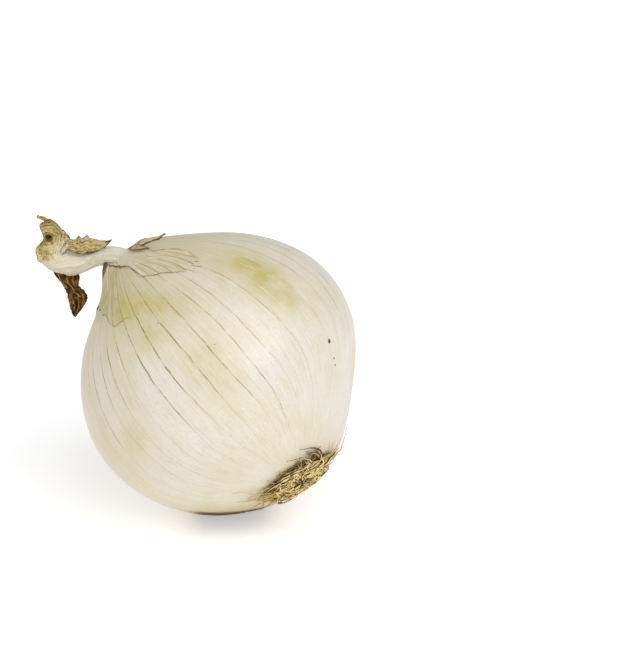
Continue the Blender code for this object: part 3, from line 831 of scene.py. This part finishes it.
# %% Grain, folds and veins of the neck
NECK_GRAIN_START, NECK_GRAIN_STEP = 0.28, 0.0012        # along the fibres' pattern, the step for each row
TONGUE_VEINS = ((304, 22, 38), (309, 24, 42), (314.5, 18, 46), (320, 22, 50), (325.5, 16, 50), (330, 30, 48))
TONGUE_VEIN_HALF = 0.45                 # degrees

count = JOINT_ROWS + len(ring_points)
plain = np.zeros((count, len(turns)))
lengthwise = NECK_GRAIN_START + NECK_GRAIN_STEP * np.arange(1, count + 1)[:, None] + plain
lengthwise = np.concatenate([GRAIN_LENGTH * (180 - reach) / 180, lengthwise])
twist = np.radians(places * PLEAT_TWIST)[:, None] + 0 * turns
twist = np.concatenate([0 * reach, plain[:JOINT_ROWS], twist])
neck_grain = np.stack([np.cos(turns + twist), np.sin(turns + twist), lengthwise], -1)
valley = np.concatenate([0 * reach, plain[:JOINT_ROWS], -ring_folds])
neck_vein = 0 * reach
for facing, start, end in TONGUE_VEINS:
    line = bump_at(neck_sides, facing + 0.5 * np.sin(0.35 * reach + facing), TONGUE_VEIN_HALF)
    neck_vein = np.maximum(neck_vein, line * np.clip((reach - start) / 6, 0, 1) * (reach < end))
print(len(TONGUE_VEINS), "veins on the tongue")

# %% Neck mesh
TONGUE_BOLDNESS = ((0, 0.6), (40, 0.8), (100, 0.4), (160, 0.7), (200, 1), (226, 1.9), (284, 1.9), (290, 1.0),
                   (297, 0.48), (303, 0.42), (313, 0.36), (319, 0.05), (329, 0.05), (331.5, 0.55), (345, 1.0))
JOINED_ROWS = 34                        # rows over which the tongue's paleness passes into the neck's
BROWN_START, BROWN_BASE = 48, 0.45      # the ring from which the neck browns, and how pale it is at its tip

fading = np.interp(np.arange(count), [JOINT_ROWS + BROWN_START, count], [1, BROWN_BASE])[:, None]
joined = (np.clip(np.arange(count) / JOINED_ROWS, 0, 1) ** 2)[:, None]
tongue_base = np.clip(1.3 - reach / 36, 0, 1)
thin_tip = np.clip((reach - tongue_edge + 7) / 7, 0, 1) * bump_at(neck_sides, 324, 6)
neck = grid_mesh("papery_neck", neck_rows, wrap=True, poles=(None, NECK_TIP), stored={
    "edge": rim_distance(neck_rows, neck_rows[0]), "grain": neck_grain, "valley": valley,
    "bold": read_round(TONGUE_BOLDNESS, neck_sides) + np.zeros(neck_rows.shape[:2]),
    "vein": np.concatenate([neck_vein, plain]), "skin": np.concatenate([thin_tip, plain]),
    "along": np.concatenate([(180 - reach) / 180, plain + 1]),
    "stain": np.concatenate([stain_at(180 - reach, neck_sides), plain]),
    "base": np.concatenate([tongue_base, tongue_base[-1] * (1 - joined) + fading * joined])})
print("neck points", len(neck.data.vertices))

# %% [markdown]
# ## Papery finish
# Dry onion skin is thin, pale tan and streaked lengthwise, with a satin gloss. It browns where it is torn.
# One recipe serves every dry piece: two paper tones along the fibres, darker fibres, painted shade in the
# folds and, on the leaves, in thin creases, painted light on the folds' crests, and a brown rim whose width
# wavers. Some pieces set their edge values so that this brown also paints the shade of a hollow or under an
# edge.

# %% Papery finish
FRESH = linear(236, 229, 209)           # the pale skin where a dry end leaves the neck
BROAD_SCALE, PATCH_SCALE, WARP_SCALE, CREASE_SCALE = 140, 260, 330.0, 620.0      # patterns, coarse to fine
CREASE_BEND = 3.0 * MM                  # how far the cells' borders are bent


def thin_creases(tree, place, base):
    """Where thin creases are painted dark as shade: the borders of bent cells, in patches, and none on the
    pale foot.
    """
    warp = add(tree, "ShaderNodeTexNoise", {"Vector": place, "Scale": WARP_SCALE}).outputs["Color"]
    bent = add(tree, "ShaderNodeVectorMath", {0: warp, "Scale": CREASE_BEND}, operation="SCALE").outputs[0]
    bent = add(tree, "ShaderNodeVectorMath", {0: place, 1: bent}, operation="ADD").outputs[0]
    cells = add(tree, "ShaderNodeTexVoronoi", {"Vector": bent, "Scale": CREASE_SCALE},
                feature="DISTANCE_TO_EDGE").outputs["Distance"]
    patchy = between(tree, noise(tree, place, PATCH_SCALE, 2, 0.5), 0.4, 0.62)
    creased = calc(tree, "MULTIPLY", between(tree, cells, 0.13, 0.02), patchy)
    return calc(tree, "MULTIPLY", creased, between(tree, base, 0.35, 0.0))


def torn_rim_and_shade(tree, streak, rim_width):
    """How brown the rim is, and the shade that a piece paints through its edge values: wider along some
    streaks, and bold only where the piece says so.
    """
    bold = attribute(tree, "bold")
    width = calc(tree, "MULTIPLY", between(tree, streak, 0.3, 0.75, 0.4, 1.7), rim_width)
    width = calc(tree, "MULTIPLY", width, calc(tree, "ADD", bold, 0.15))
    rimmed = between(tree, calc(tree, "DIVIDE", attribute(tree, "edge"), width), 1.0, 0.4)
    return calc(tree, "MULTIPLY", rimmed, between(tree, bold, 0.0, 0.9, 0, 0.92))


def papery(name, light, dark, fibre, rim, rim_width, streaks=38, crinkle=0.0, roughness=0.5, fold_shade=0.7,
           specular=0.4, on_bulb_skin=False):
    """A dry-skin material: paper tones along the grain, and a brown rim about this many mm wide. crinkle and
    fold_shade are the strengths of the shade painted in thin creases and in folds, with painted light on the
    folds' crests; on_bulb_skin lets it pass into the bulb's."""
    material, tree, shader, place = finish_material(name, roughness, specular)
    grain, base = attribute(tree, "grain", "Vector"), attribute(tree, "base")
    streak = noise(tree, grain, streaks, 5, 0.65)
    broad = noise(tree, place, BROAD_SCALE, 3, 0.55)
    fine = noise(tree, grain, streaks * 3.1, 3, 0.6)
    valley = attribute(tree, "valley")
    light = blend(tree, base, light, FRESH)
    colour = blend(tree, between(tree, streak, 0.35, 0.68), light, dark)
    colour = blend(tree, between(tree, base, 0.0, 1.0, 0, 0.65), colour, light)
    colour = blend(tree, between(tree, broad, 0.45, 0.75, 0, 0.4), colour, dark)
    colour = blend(tree, between(tree, fine, 0.53, 0.66, 0, 0.75), colour, fibre)
    # Painted shade in the folds, and painted light on their crests.
    colour = blend(tree, between(tree, valley, 0.03, 0.17, 0, fold_shade), colour, fibre)
    colour = blend(tree, between(tree, valley, -0.04, -0.2, 0, fold_shade), colour, light)
    height = calc(tree, "ADD", streak, calc(tree, "MULTIPLY", fine, 0.6))
    if on_bulb_skin:
        skin = skin_colour(tree, place)[0]
        patched = calc(tree, "MULTIPLY", attribute(tree, "stain"), 0.7)
        colour = blend(tree, patched, colour, STAIN_TINT)
        colour = blend(tree, calc(tree, "MULTIPLY", attribute(tree, "vein"), 0.8), colour, fibre)
        own = attribute(tree, "skin")
        colour = blend(tree, own, colour, skin)
        height = calc(tree, "MULTIPLY", height, between(tree, own, 1.0, 0.2))
    if crinkle:
        creased = thin_creases(tree, place, base)
        # Painted shade: the thin creases take the rim's brown.
        colour = blend(tree, calc(tree, "MULTIPLY", creased, crinkle), colour, rim)
        height = calc(tree, "SUBTRACT", height, calc(tree, "MULTIPLY", creased, 1.5))
    colour = blend(tree, torn_rim_and_shade(tree, streak, rim_width), colour, rim)
    tree.links.new(colour, shader.inputs["Base Color"])
    let_light_in(shader, weight=0.08, radius=(1.0, 0.75, 0.4), scale=1.5 * MM)
    raise_surface(tree, shader, height, distance=0.16 * MM, strength=0.8)
    return material


print("papery recipe ready")

# %% [markdown]
# ## Collar and neck, finished
# Both lie on the bulb, so they go through its relief too, or the bulb's waves would come through them. Then a
# Solidify modifier gives the sheets their thickness, which shows along the tears.

# %% Collar and neck, finished
def thicken(piece, thickness, material, offset=-1.0):
    """Give a sheet its thickness and its finish, and keep it as a plain mesh."""
    if not piece.data.materials:
        piece.data.materials.append(material)
    wall = piece.modifiers.new("thickness", "SOLIDIFY")
    wall.thickness, wall.offset = thickness, offset
    return settle(piece)


collar_finish = papery("collar_paper", linear(212, 201, 160), linear(190, 174, 124), linear(152, 122, 52),
                       linear(82, 52, 14), 0.3, on_bulb_skin=True)
neck_finish = papery("neck_paper", linear(216, 206, 174), linear(198, 186, 148), linear(170, 148, 92),
                     linear(100, 66, 20), 0.35, fold_shade=0.35, on_bulb_skin=True)
for piece, finish in ((collar, collar_finish), (neck, neck_finish)):
    grow(piece, relief, {**RELIEF, "Finish": finish})
    thicken(piece, SKIN_THICKNESS, finish)
dress(collar, "dry_skin")
dress(neck, "dry_skin")

# %% [markdown]
# ## The torn scrap
# A small triangle of brown skin has torn loose where the tongue's upper edge leaves the neck; its brown is
# partly its own and partly painted shade of its lifted inside. It is a sheet between two measured edges over
# the collar, and the folds of dry skin are sums of sharp waves that run in directions drawn by lot.

# %% Torn scrap
SCRAP_ENDS = (((13.0, 329), (12.8, 331)), ((15.6, 326), (15.0, 331)), ((19.6, 324), (17.9, 337)),
              ((22.5, 325.5), (20.9, 333)), ((25.3, 327.9), (24.4, 330)), ((27.2, 327), (27.0, 328)))
SCRAP_ROWS, SCRAP_COLUMNS = 40, 14
SCRAP_LIFT, SCRAP_TILT, SCRAP_CREASE = 0.7, 0.5, 0.12      # mm over the collar


def creases(x, z, seed, size, number=9):
    """Sharp folds, -1 to 1, over places in mm."""
    lot = np.random.default_rng(seed)
    total = 0
    for _ in range(number):
        angle, length = lot.uniform(0, np.pi), size * lot.uniform(0.5, 1.6)
        place = (x * np.cos(angle) + z * np.sin(angle)) / length + lot.uniform(0, 1)
        total = total + np.abs(place % 1 - 0.5) * 4 - 1
    return total / number ** 0.5


scrap_edges = smooth_rows(np.array(SCRAP_ENDS), np.linspace(0, len(SCRAP_ENDS) - 1, SCRAP_ROWS))
share = np.linspace(0, 1, SCRAP_COLUMNS)[None, :]
scrap_reach, scrap_side = (scrap_edges[:, :1, k] + (scrap_edges[:, 1:, k] - scrap_edges[:, :1, k]) * share
                           for k in (0, 1))
lift = (collar_lift(scrap_reach, 45, scrap_side) / MM + SCRAP_LIFT + SCRAP_TILT * share
        + SCRAP_CREASE * creases(scrap_reach * 0.5, scrap_side * 0.3, 41, 2.0)) * MM
scrap_rows = on_bulb(180 - scrap_reach, scrap_side, lift)
wide = np.linalg.norm(scrap_rows[:, -1] - scrap_rows[:, 0], axis=-1)[:, None] / MM
scrap = grid_mesh("torn_scrap", scrap_rows, stored={
    "edge": np.minimum(share, 1 - share) * wide, "bold": 1.3 + 0 * scrap_reach,
    "valley": 0.1 * creases(scrap_reach, scrap_side, 43, 3.0),
    "grain": np.stack([scrap_reach / 60, share + 0 * scrap_reach, 0 * scrap_reach], -1)})
# Dark tones: partly the scrap's own brown, partly painted shade of its lifted inside.
scrap_finish = papery("scrap_paper", linear(206, 184, 132), linear(176, 146, 88), linear(120, 86, 34),
                      linear(64, 36, 8), 0.36)
thicken(scrap, SKIN_THICKNESS, scrap_finish, 0.0)
dress(scrap, "dry_skin")

# %% [markdown]
# ## Withered leaf ends
# Three leaf ends are left on the neck: a crumpled hood round a dark hollow, a flap with a ragged rim, and a
# dark one that hangs down. Dry leaf creases sharply, like paper, so each sheet is pressed out of its plane by
# folds that run in lots of directions.

# %% Leaf sheets
LEAF_THICKNESS = 0.22 * MM
LEAF_LENGTH = 20                        # mm
FOLD_DEPTH = 0.28                       # mm


def leaf_end(name, ends, depth_at, fold_at, rows, across, seed, tooth, pale_at, dark_at, material,
             pale_tip=0.0):
    """A dry leaf between measured left and right edges. depth_at gives the mm back from the viewer, fold_at
    its folds from -1 to 1, pale_at how fresh a place is, and dark_at the mm from the nearest place that takes
    the rim's dark brown, as painted shade or as the leaf's own dark."""
    ends = np.array(ends)
    places = np.linspace(0, len(ends) - 1, rows)
    edges = smooth_rows(ends, places)
    lot = np.random.default_rng(seed)
    edges = edges + tooth * lot.normal(0, 1, edges.shape)
    across_share = np.linspace(0, 1, across)[None, :]
    along_share = (places / (len(ends) - 1))[:, None]
    flat = edges[:, :1] + (edges[:, 1:] - edges[:, :1]) * across_share[..., None]
    x, z = flat[..., 0], flat[..., 1]
    fold = fold_at(across_share, along_share, x, z)
    depth = depth_at(across_share, along_share, x, z) + FOLD_DEPTH * fold
    points = np.stack([x, depth, z], -1) * MM + MIDDLE
    wide = np.linalg.norm(edges[:, 1] - edges[:, 0], axis=-1)[:, None]
    to_edge = np.minimum(across_share, 1 - across_share) * wide
    grain = np.stack([across_share + 0 * x, 0 * x + seed, along_share * 0.35 + 0 * x], -1)
    valley = creases(x, z, seed + 3, 2.6) * 0.06 + fold * 0.13
    # Painted shade: near a dark place the edge value is small, so the rim's brown is painted there.
    to_edge = np.minimum(to_edge, dark_at(across_share, along_share, x, z))
    to_edge = np.minimum(to_edge, (1 - along_share) * LEAF_LENGTH + 2 * pale_tip)
    bold = (0.6 + 0.3 * creases(x, z, seed + 1, 4.0)) * (1 - pale_tip * np.clip(along_share * 10 - 8, 0, 1))
    piece = grid_mesh(name, points, stored={
        "edge": to_edge, "grain": grain, "valley": valley, "bold": bold,
        "base": pale_at(across_share, along_share, x, z)})
    return thicken(piece, LEAF_THICKNESS, material, 0.0)


def ridge(place):
    """Sharp folds: -1 at every whole number, 1 half way between."""
    return 1 - 4 * np.abs(place % 1 - 0.5)


def neck_front(x, z):
    """How far back the neck's front is (mm)."""
    height, half_height, half_width = (np.interp(x, STATIONS[::-1, 0], STATIONS[::-1, k]) for k in (1, 2, 3))
    return NECK_DEPTH - half_width * np.sqrt(np.clip(1 - ((z - height) / half_height) ** 2, 0, 1))


print("leaf thickness", LEAF_THICKNESS / MM, "mm")

# %% [markdown]
# ## The crumpled hood
# The largest leaf end cups forward round a hollow, with its tip curled over. It starts inside the neck's
# surface, so that it seems to grow out of it, and its folds run round the hollow.

# %% Crumpled hood
HOLLOW_X, HOLLOW_Z = -50.9, 38.4        # mm
# Places painted dark as the shade in the hood's hollows.
HOLLOWS = ((-50.9, 37.9, 0.65), (-51.4, 38.9, 0.4), (-50.0, 37.4, 0.35),      # dark places: x, z, size in mm
           (-51.6, 40.4, 0.15), (-47.2, 38.0, 0.1))
HOOD_ENDS = (((-53.6, 31.4), (-43.6, 33.0)), ((-54.5, 33.0), (-44.2, 35.6)), ((-54.7, 35.6), (-44.4, 38.2)),
             ((-53.5, 36.9), (-45.0, 39.9)), ((-52.3, 38.6), (-46.3, 41.3)), ((-52.8, 41.2), (-47.6, 42.9)),
             ((-53.2, 42.9), (-48.8, 44.1)), ((-51.8, 43.9), (-50.4, 44.7)), ((-53.7, 44.8), (-52.2, 45.3)),
             ((-54.1, 45.3), (-53.8, 45.6)))


def hood_depth(across, along, x, z):
    """It grows out of the neck's front, then opens into a cup with a deep hollow."""
    on_neck = neck_front(x, z) - 0.3 + 1.2 * np.exp(-along / 0.05)
    on_neck = on_neck + 0.8 * np.clip((across - 0.85) / 0.15, 0, 1)
    opened = np.clip((along - 0.14) / 0.22, 0, 1)
    cup = np.sin(np.pi * across) * np.sin(np.pi * np.minimum(1, 0.12 + 1.1 * along)) ** 0.5
    hollow = 2.4 * np.exp(-((x - HOLLOW_X) ** 2 + (z - HOLLOW_Z) ** 2) / 1.5)
    cupped = 7.0 + 2.4 * cup + 1.5 * along + hollow
    crease = creases(x, z, 12, 2.6) * 0.4 + creases(x, z, 13, 1.3) * 0.15
    return on_neck + (cupped - on_neck) * opened + crease * opened


def hood_fold(across, along, x, z):
    """Fine folds that run round the hollow."""
    away = np.hypot(x - HOLLOW_X, z - HOLLOW_Z) + 0.45 * creases(x, z, 15, 3.0)
    return ridge(away / 1.15) * np.clip((along - 0.05) / 0.2, 0, 1)


def hood_pale(across, along, x, z):
    """Pale at its foot, less so to the left."""
    foot = np.clip(1.1 - along / 0.36, 0, 1) * np.clip((x + 52.0) / 5, 0, 1)
    return np.maximum(foot, 0.8 * np.clip((x + 47.2) / 2.5, 0, 1) * np.clip((41 - z) / 2, 0, 1))


def hood_dark(across, along, x, z):
    """A dark hollow, with smaller ones round it, painted as shade."""
    return np.min([np.hypot(x - at_x, z - at_z) - size for at_x, at_z, size in HOLLOWS], axis=0).clip(0)


hood_finish = papery("crumpled_leaf", linear(214, 197, 142), linear(184, 160, 96), linear(104, 72, 26),
                     linear(72, 42, 12), 0.4, streaks=14, crinkle=0.5, roughness=0.6, fold_shade=0.85)
hood = leaf_end("crumpled_leaf", HOOD_ENDS, hood_depth, hood_fold, rows=120, across=84, seed=5, tooth=0.05,
                pale_at=hood_pale, dark_at=hood_dark, material=hood_finish, pale_tip=0.9)
dress(hood, "crumpled_leaf_end")

# %% [markdown]
# ## The side flap
# A narrower leaf end lies along the top of the neck as a shallow trough with a ragged rim. Its folds run
# lengthwise and meet at the tip, as the ribs of a leaf do.

# %% Side flap
FLAP_ENDS = (((-47.2, 33.6), (-46.9, 35.6)), ((-45.4, 35.6), (-44.9, 38.1)), ((-44.4, 35.6), (-44.2, 39.0)),
             ((-43.2, 35.1), (-42.6, 39.0)), ((-42.1, 34.7), (-41.6, 40.1)), ((-40.9, 34.6), (-40.7, 39.1)),
             ((-39.6, 34.6), (-39.2, 40.1)), ((-38.2, 34.7), (-38.4, 39.3)), ((-36.7, 35.1), (-37.2, 39.2)),
             ((-35.2, 35.8), (-36.0, 38.7)), ((-33.6, 36.9), (-34.0, 38.2)), ((-32.3, 38.4), (-32.1, 38.7)))


def flap_depth(across, along, x, z):
    """A trough that leaves the neck at its left end and waves along its rim."""
    rooted = 1.2 * np.clip(1 - along / 0.1, 0, 1)
    wave = 0.35 * np.sin(5 * np.pi * along) * across
    crease = creases(x + 0.8 * z, z, 7, 2.6) * 0.3 + creases(x, z, 8, 1.3) * 0.12
    trough = 6.2 + rooted - 0.8 * np.sin(np.pi * across)
    return trough + wave + 0.6 * along + crease * np.clip(along / 0.1, 0.2, 1)


def flap_fold(across, along, x, z):
    """Folds that run lengthwise and meet at its tip."""
    return ridge(across * 4.4 + 0.35 * creases(x, z, 27, 3.4)) * np.clip(1.3 - along, 0.3, 1)


def flap_pale(across, along, x, z):
    """Pale only where it leaves the neck."""
    return np.clip(1 - along / 0.16, 0, 1) + 0 * x


def flap_dark(across, along, x, z):
    """Its lower edge is painted darkest, as the shadow between the flap and the neck."""
    return across * 2.4 + np.clip(0.3 - along, 0, 1)


flap_finish = papery("side_leaf", linear(214, 197, 144), linear(184, 161, 98), linear(110, 78, 30),
                     linear(66, 38, 10), 0.42, streaks=12, crinkle=0.4, roughness=0.6, fold_shade=0.85)
flap = leaf_end("side_leaf", FLAP_ENDS, flap_depth, flap_fold, rows=130, across=48, seed=9, tooth=0.05,
                pale_at=flap_pale, dark_at=flap_dark, material=flap_finish)
dress(flap, "side_leaf_end")

# %% [markdown]
# ## The hanging leaf
# The last leaf end hangs below the neck, pleated lengthwise and nearly black, with the fronts of its pleats
# painted paler as light on them. It has the same recipe as the others, with darker tones and less gloss.

# %% Hanging leaf
HANGING_ENDS = (((-50.2, 28.8), (-42.5, 28.5)), ((-49.1, 26.7), (-41.9, 26.7)),
                ((-47.6, 24.6), (-42.4, 24.6)), ((-46.2, 22.3), (-40.8, 22.7)),
                ((-45.6, 20.0), (-39.8, 20.4)), ((-45.2, 17.8), (-41.2, 17.8)),
                ((-44.6, 15.6), (-42.9, 15.5)), ((-44.0, 14.7), (-43.5, 14.7)))


def hanging_depth(across, along, x, z):
    """Folded lengthwise, flatter towards its tip."""
    fold = np.cos(3 * np.pi * across + 2 * along)
    return 8.6 + 0.7 * fold * (1 - 0.4 * along) - 0.5 * along + 0.3 * creases(x, z, 17, 3.2)


def hanging_fold(across, along, x, z):
    """Sharp lengthwise pleats."""
    return ridge(across * 3.6 + 0.5 * np.sin(5 * along) + 0.25 * creases(x, z, 25, 3.0))


def hanging_pale(across, along, x, z):
    """No place on it is fresh."""
    return 0 * x


def hanging_dark(across, along, x, z):
    """Nearly black, with the fronts of its pleats painted paler as lit, and paler towards its right side and
    tip.
    """
    # Painted light on the fronts of the pleats.
    front = np.clip(-hanging_fold(across, along, x, z) - 0.35, 0, 1)
    return 2.2 * front + 0.5 * np.clip((across - 0.55) * 3, 0, 1) + 1.2 * np.clip((along - 0.7) * 4, 0, 1)


hanging_finish = papery("hanging_leaf", linear(178, 132, 66), linear(102, 64, 22), linear(62, 32, 8),
                        linear(38, 16, 3), 1.15, streaks=13, crinkle=0.6, roughness=0.65, fold_shade=0.8,
                        specular=0.2)
hanging = leaf_end("hanging_leaf", HANGING_ENDS, hanging_depth, hanging_fold, rows=110, across=80, seed=13,
                   tooth=0.07, pale_at=hanging_pale, dark_at=hanging_dark, material=hanging_finish,
                   pale_tip=0.6)
dress(hanging, "hanging_leaf_end")

# %% [markdown]
# ## The root mat
# An onion's roots dry into a mat of stiff, curly threads on a corky plate. Each thread starts somewhere on
# the plate and runs outwards close to the bulb. Their courses are drawn by lot as thin lines, and a geometry
# tree makes the threads: it adds curls, tapers them, and sweeps a small ring along each.

# %% Root courses
ROOT_COUNT, ROOT_POINTS, ROOT_SEED = 250, 9, 4
FRINGE_COUNT, FACE_COUNT = 110, 70      # short low threads round the plate, and curled ones on its face
COURSES = ROOT_COUNT + FRINGE_COUNT + FACE_COUNT
PLATE_RADIUS = 7.5                      # mm
PLATE_TOP, PLATE_FALL = 1.5, 0.75       # mm at its middle, and how much lower it is at its edge
LONG_SIDE, UNDER_SIDE = 5, 140          # where the threads are longest, and where they are pressed flat
STRAYS = ((244, 3, 24), (254, 4, 15), (285, 4, 10), (318, 4, 11), (48, 4, 25), (38, 3, 19), (30, 3, 16),
          (236, 4, 15), (262, 4, 13), (250, 5, 11), (60, 4, 14), (206, 4, 14), (213, 4, 17), (220, 4, 15),
          (228, 4, 19), (198, 4, 12), (241, 5, 15), (24, 4, 15), (42, 4, 16),
          (300, 5, 8))                  # single threads: side, start and length in mm
STRAY_TONE = 2                          # marks them for the finish


def near_roots(distance, turn, lift):
    """A place over the bulb's base, so many mm from the plate's middle."""
    return on_bulb(np.degrees(distance * MM / RADIUS), turn, lift * MM)


def draw_root(number):
    """A thread drawn by lot: start, side, length, swerve, phase, height and girth."""
    start, turn = PLATE_RADIUS * 0.97 * lot.random() ** 0.5, lot.uniform(0, 360)
    length, swerve, phase = lot.uniform(3.5, 8.5), lot.uniform(-75, 75), lot.uniform(0, FULL_TURN)
    length *= 1 + 0.45 * bump_at(turn, LONG_SIDE, 40)
    top, girth = 1.35 * lot.random() ** 1.2, lot.uniform(0.18, 0.38)
    below = bump_at(turn, UNDER_SIDE, 60)
    top, length = top * (1 - 0.75 * below), length * (1 - 0.45 * below)
    if number < len(STRAYS):
        (turn, start, length), swerve, top, girth = STRAYS[number], 14 * np.sin(5.0 * number), 0.5, 0.24
    if number >= ROOT_COUNT:
        start, length, top = PLATE_RADIUS * lot.uniform(0.85, 1.0), lot.uniform(1.5, 5), 0.25 * lot.random()
    if number >= ROOT_COUNT + FRINGE_COUNT:
        start, length, swerve = 0.6 + 3.5 * lot.random(), lot.uniform(3, 6), lot.uniform(-170, 170)
    return start, turn, length, swerve, phase, top, girth


lot = np.random.default_rng(ROOT_SEED)
points, edges, thick, tone = [], [], [], []
share = np.linspace(0, 1, ROOT_POINTS)
for number in range(COURSES):
    start, turn, length, swerve, phase, top, girth = draw_root(number)
    lift = 0.42 + top * np.sin(np.pi * np.minimum(1, 0.1 + 0.85 * share))
    distance = start + length * share
    plate_height = PLATE_TOP - PLATE_FALL * (distance / PLATE_RADIUS) ** 2
    lift = np.maximum(lift, plate_height + lot.uniform(-0.6, 0.75))      # some lie bedded in the plate
    lift = lift + 0.15 * (1 + np.sin(7 * share + phase)) * share
    course = near_roots(distance, turn + swerve * share ** 2 + 6 * np.sin(5 * share + phase), lift)
    edges += [(len(points) + i, len(points) + i + 1) for i in range(ROOT_POINTS - 1)]
    points += course.tolist()
    thick += [girth * MM] * ROOT_POINTS
    # Painted shade: threads that lie low get a lower tone and so a browner colour; the higher ones are paler.
    paler = np.clip((lift - np.maximum(plate_height - 0.1, 0.65)) / 1.1, 0, 0.75)      # the higher ones
    paler = 0.35 * lot.random() + paler + STRAY_TONE * (number < len(STRAYS)) + 0.35 * (number >= ROOT_COUNT)
    tone += paler.tolist()
print(COURSES, "root courses")

# %% Root lines
root_mesh = bpy.data.meshes.new("dry_roots")
root_mesh.from_pydata(points, edges, [])
for name, values in (("thick", thick), ("tone", tone)):
    root_mesh.attributes.new(name, "FLOAT", "POINT").data.foreach_set("value", values)
roots = bpy.data.objects.new("dry_roots", root_mesh)
scene.collection.objects.link(roots)
print(len(points), "points on them")

# %% [markdown]
# ## The roots' finish
# The threads are the colour of straw and browner in patches. Where they lie low they are painted browner,
# as shade, and the sides of the threads, which face across the bulb and not away from it, are painted dark,
# as the shade in the gaps of the mat.

# %% Root finish
root_finish, tree, shader, place = finish_material("dry_root", roughness=0.75, specular=0.15)
tone = attribute(tree, "tone")
patchy = noise(tree, place, 420, 3, 0.6)
outward = add(tree, "ShaderNodeVectorMath", {0: place, 1: tuple(MIDDLE)}, operation="SUBTRACT").outputs[0]
outward = add(tree, "ShaderNodeVectorMath", {0: outward}, operation="NORMALIZE").outputs[0]
normal = add(tree, "ShaderNodeNewGeometry").outputs["Normal"]
facing = add(tree, "ShaderNodeVectorMath", {0: normal, 1: outward}, operation="DOT_PRODUCT").outputs["Value"]
# Painted shade: a low tone, given to threads that lie low, makes them browner.
straw = blend(tree, between(tree, tone, 0.15, 0.85), linear(124, 88, 34), linear(238, 214, 150))
straw = blend(tree, between(tree, patchy, 0.46, 0.64, 0, 0.8), straw, linear(126, 88, 30))
stray = between(tree, tone, 0.7 * STRAY_TONE, 0.9 * STRAY_TONE)
straw = blend(tree, stray, straw, linear(196, 168, 96))
# Painted shade: dark where a thread's side faces across the bulb, straw where it faces out; the loose threads
# stay straw.
painted_lit_share = calc(tree, "MAXIMUM", between(tree, facing, 0.28, 0.88), stray)
tree.links.new(blend(tree, painted_lit_share, linear(44, 22, 2), straw), shader.inputs["Base Color"])
raise_surface(tree, shader, noise(tree, place, 1500, 3, 0.6), distance=0.1 * MM, strength=0.7)
print("root finish with", len(tree.nodes), "nodes")

# %% [markdown]
# ## The threads
# Each line becomes a curve with evenly spaced points. A noise moves the points sideways, less so near the
# start, and a ring of five points is swept along the curve. Five sides are enough for so thin a thread.

# %% Root threads
threads, given, output = new_geometry_tree("root_threads", {
    "Points": "Int", "Sides": "Int", "Curl": "Float", "Curl Scale": "Float", "Seed": "Float",
    "Finish": "Material"})
lines = add(threads, "GeometryNodeMeshToCurve", {0: given["Geometry"]}).outputs[0]
lines = add(threads, "GeometryNodeResampleCurve", {"Curve": lines, "Count": given["Points"]}).outputs[0]
cloud = add(threads, "ShaderNodeTexNoise", {"W": given["Seed"], "Scale": given["Curl Scale"], "Detail": 1.0},
            noise_dimensions="4D").outputs["Color"]
centred = add(threads, "ShaderNodeVectorMath", {0: cloud, 1: (0.5, 0.5, 0.5)}, operation="SUBTRACT")
share = add(threads, "GeometryNodeSplineParameter").outputs["Factor"]
swing = calc(threads, "MULTIPLY", given["Curl"], between(threads, share, 0.0, 0.35))
shift = add(threads, "ShaderNodeVectorMath", {0: centred.outputs[0], "Scale": swing}, operation="SCALE")
lines = add(threads, "GeometryNodeSetPosition", {"Geometry": lines, "Offset": shift.outputs[0]}).outputs[0]
ring = add(threads, "GeometryNodeCurvePrimitiveCircle", {"Resolution": given["Sides"], "Radius": 1.0})
taper = calc(threads, "MULTIPLY", stored_value(threads, "thick"), between(threads, share, 1.0, 0.3, 0.25, 1))
tubes = add(threads, "GeometryNodeCurveToMesh", {"Curve": lines, "Profile Curve": ring.outputs[0],
                                                 "Scale": taper, "Fill Caps": True}).outputs[0]
tubes = add(threads, "GeometryNodeSetShadeSmooth", {"Geometry": tubes}).outputs[0]
end_tree(threads, tubes, given["Finish"], output)
grow(roots, threads, {"Points": 18, "Sides": 5, "Curl": 1.3 * MM, "Curl Scale": 420.0, "Seed": 2.0,
                      "Finish": root_finish})
dress(roots, "root_tuft")

# %% [markdown]
# ## The root plate
# Under the threads is the corky disc that they grew from. It is a low uneven dome, and its edge turns under
# and ends just over the skin, so that the mesh is closed.

# %% Root plate
PLATE_ROWS, PLATE_COLUMNS = 22, 72
PLATE_FOOT = 0.05                       # mm over the skin
ROUGHNESS_WAVES = (5, 8, 13, 21)        # bumps round the plate

share = np.concatenate([np.linspace(0.08, 1, PLATE_ROWS), [1.03, 1.0]])[:, None]
turn = np.arange(PLATE_COLUMNS)[None, :] * 360 / PLATE_COLUMNS
rough = sum(np.sin(number * np.radians(turn) + number * share * 1.3) for number in ROUGHNESS_WAVES)
rough = rough / len(ROUGHNESS_WAVES)
lift = PLATE_TOP - PLATE_FALL + PLATE_FALL * (1 - share ** 2) + 0.28 * rough * share
lift[-2:] = [[0.3], [PLATE_FOOT]]
cap = near_roots(share * PLATE_RADIUS + 0.3 * rough * share, turn, lift)
middles = near_roots(0, 0, PLATE_FOOT), near_roots(0, 0, PLATE_TOP)
plate = grid_mesh("root_plate", cap[::-1], wrap=True, poles=middles)
cork, tree, shader, place = finish_material("root_cork", roughness=0.85, specular=0.2)
grit = noise(tree, place, 800, 4, 0.65)
colour = blend(tree, between(tree, grit, 0.35, 0.7), linear(52, 34, 14), linear(112, 84, 44))
tree.links.new(colour, shader.inputs["Base Color"])
raise_surface(tree, shader, grit, distance=0.3 * MM, strength=0.9)
plate.data.materials.append(cork)
dress(plate, "root_tuft")
print("plate points", len(plate.data.vertices))
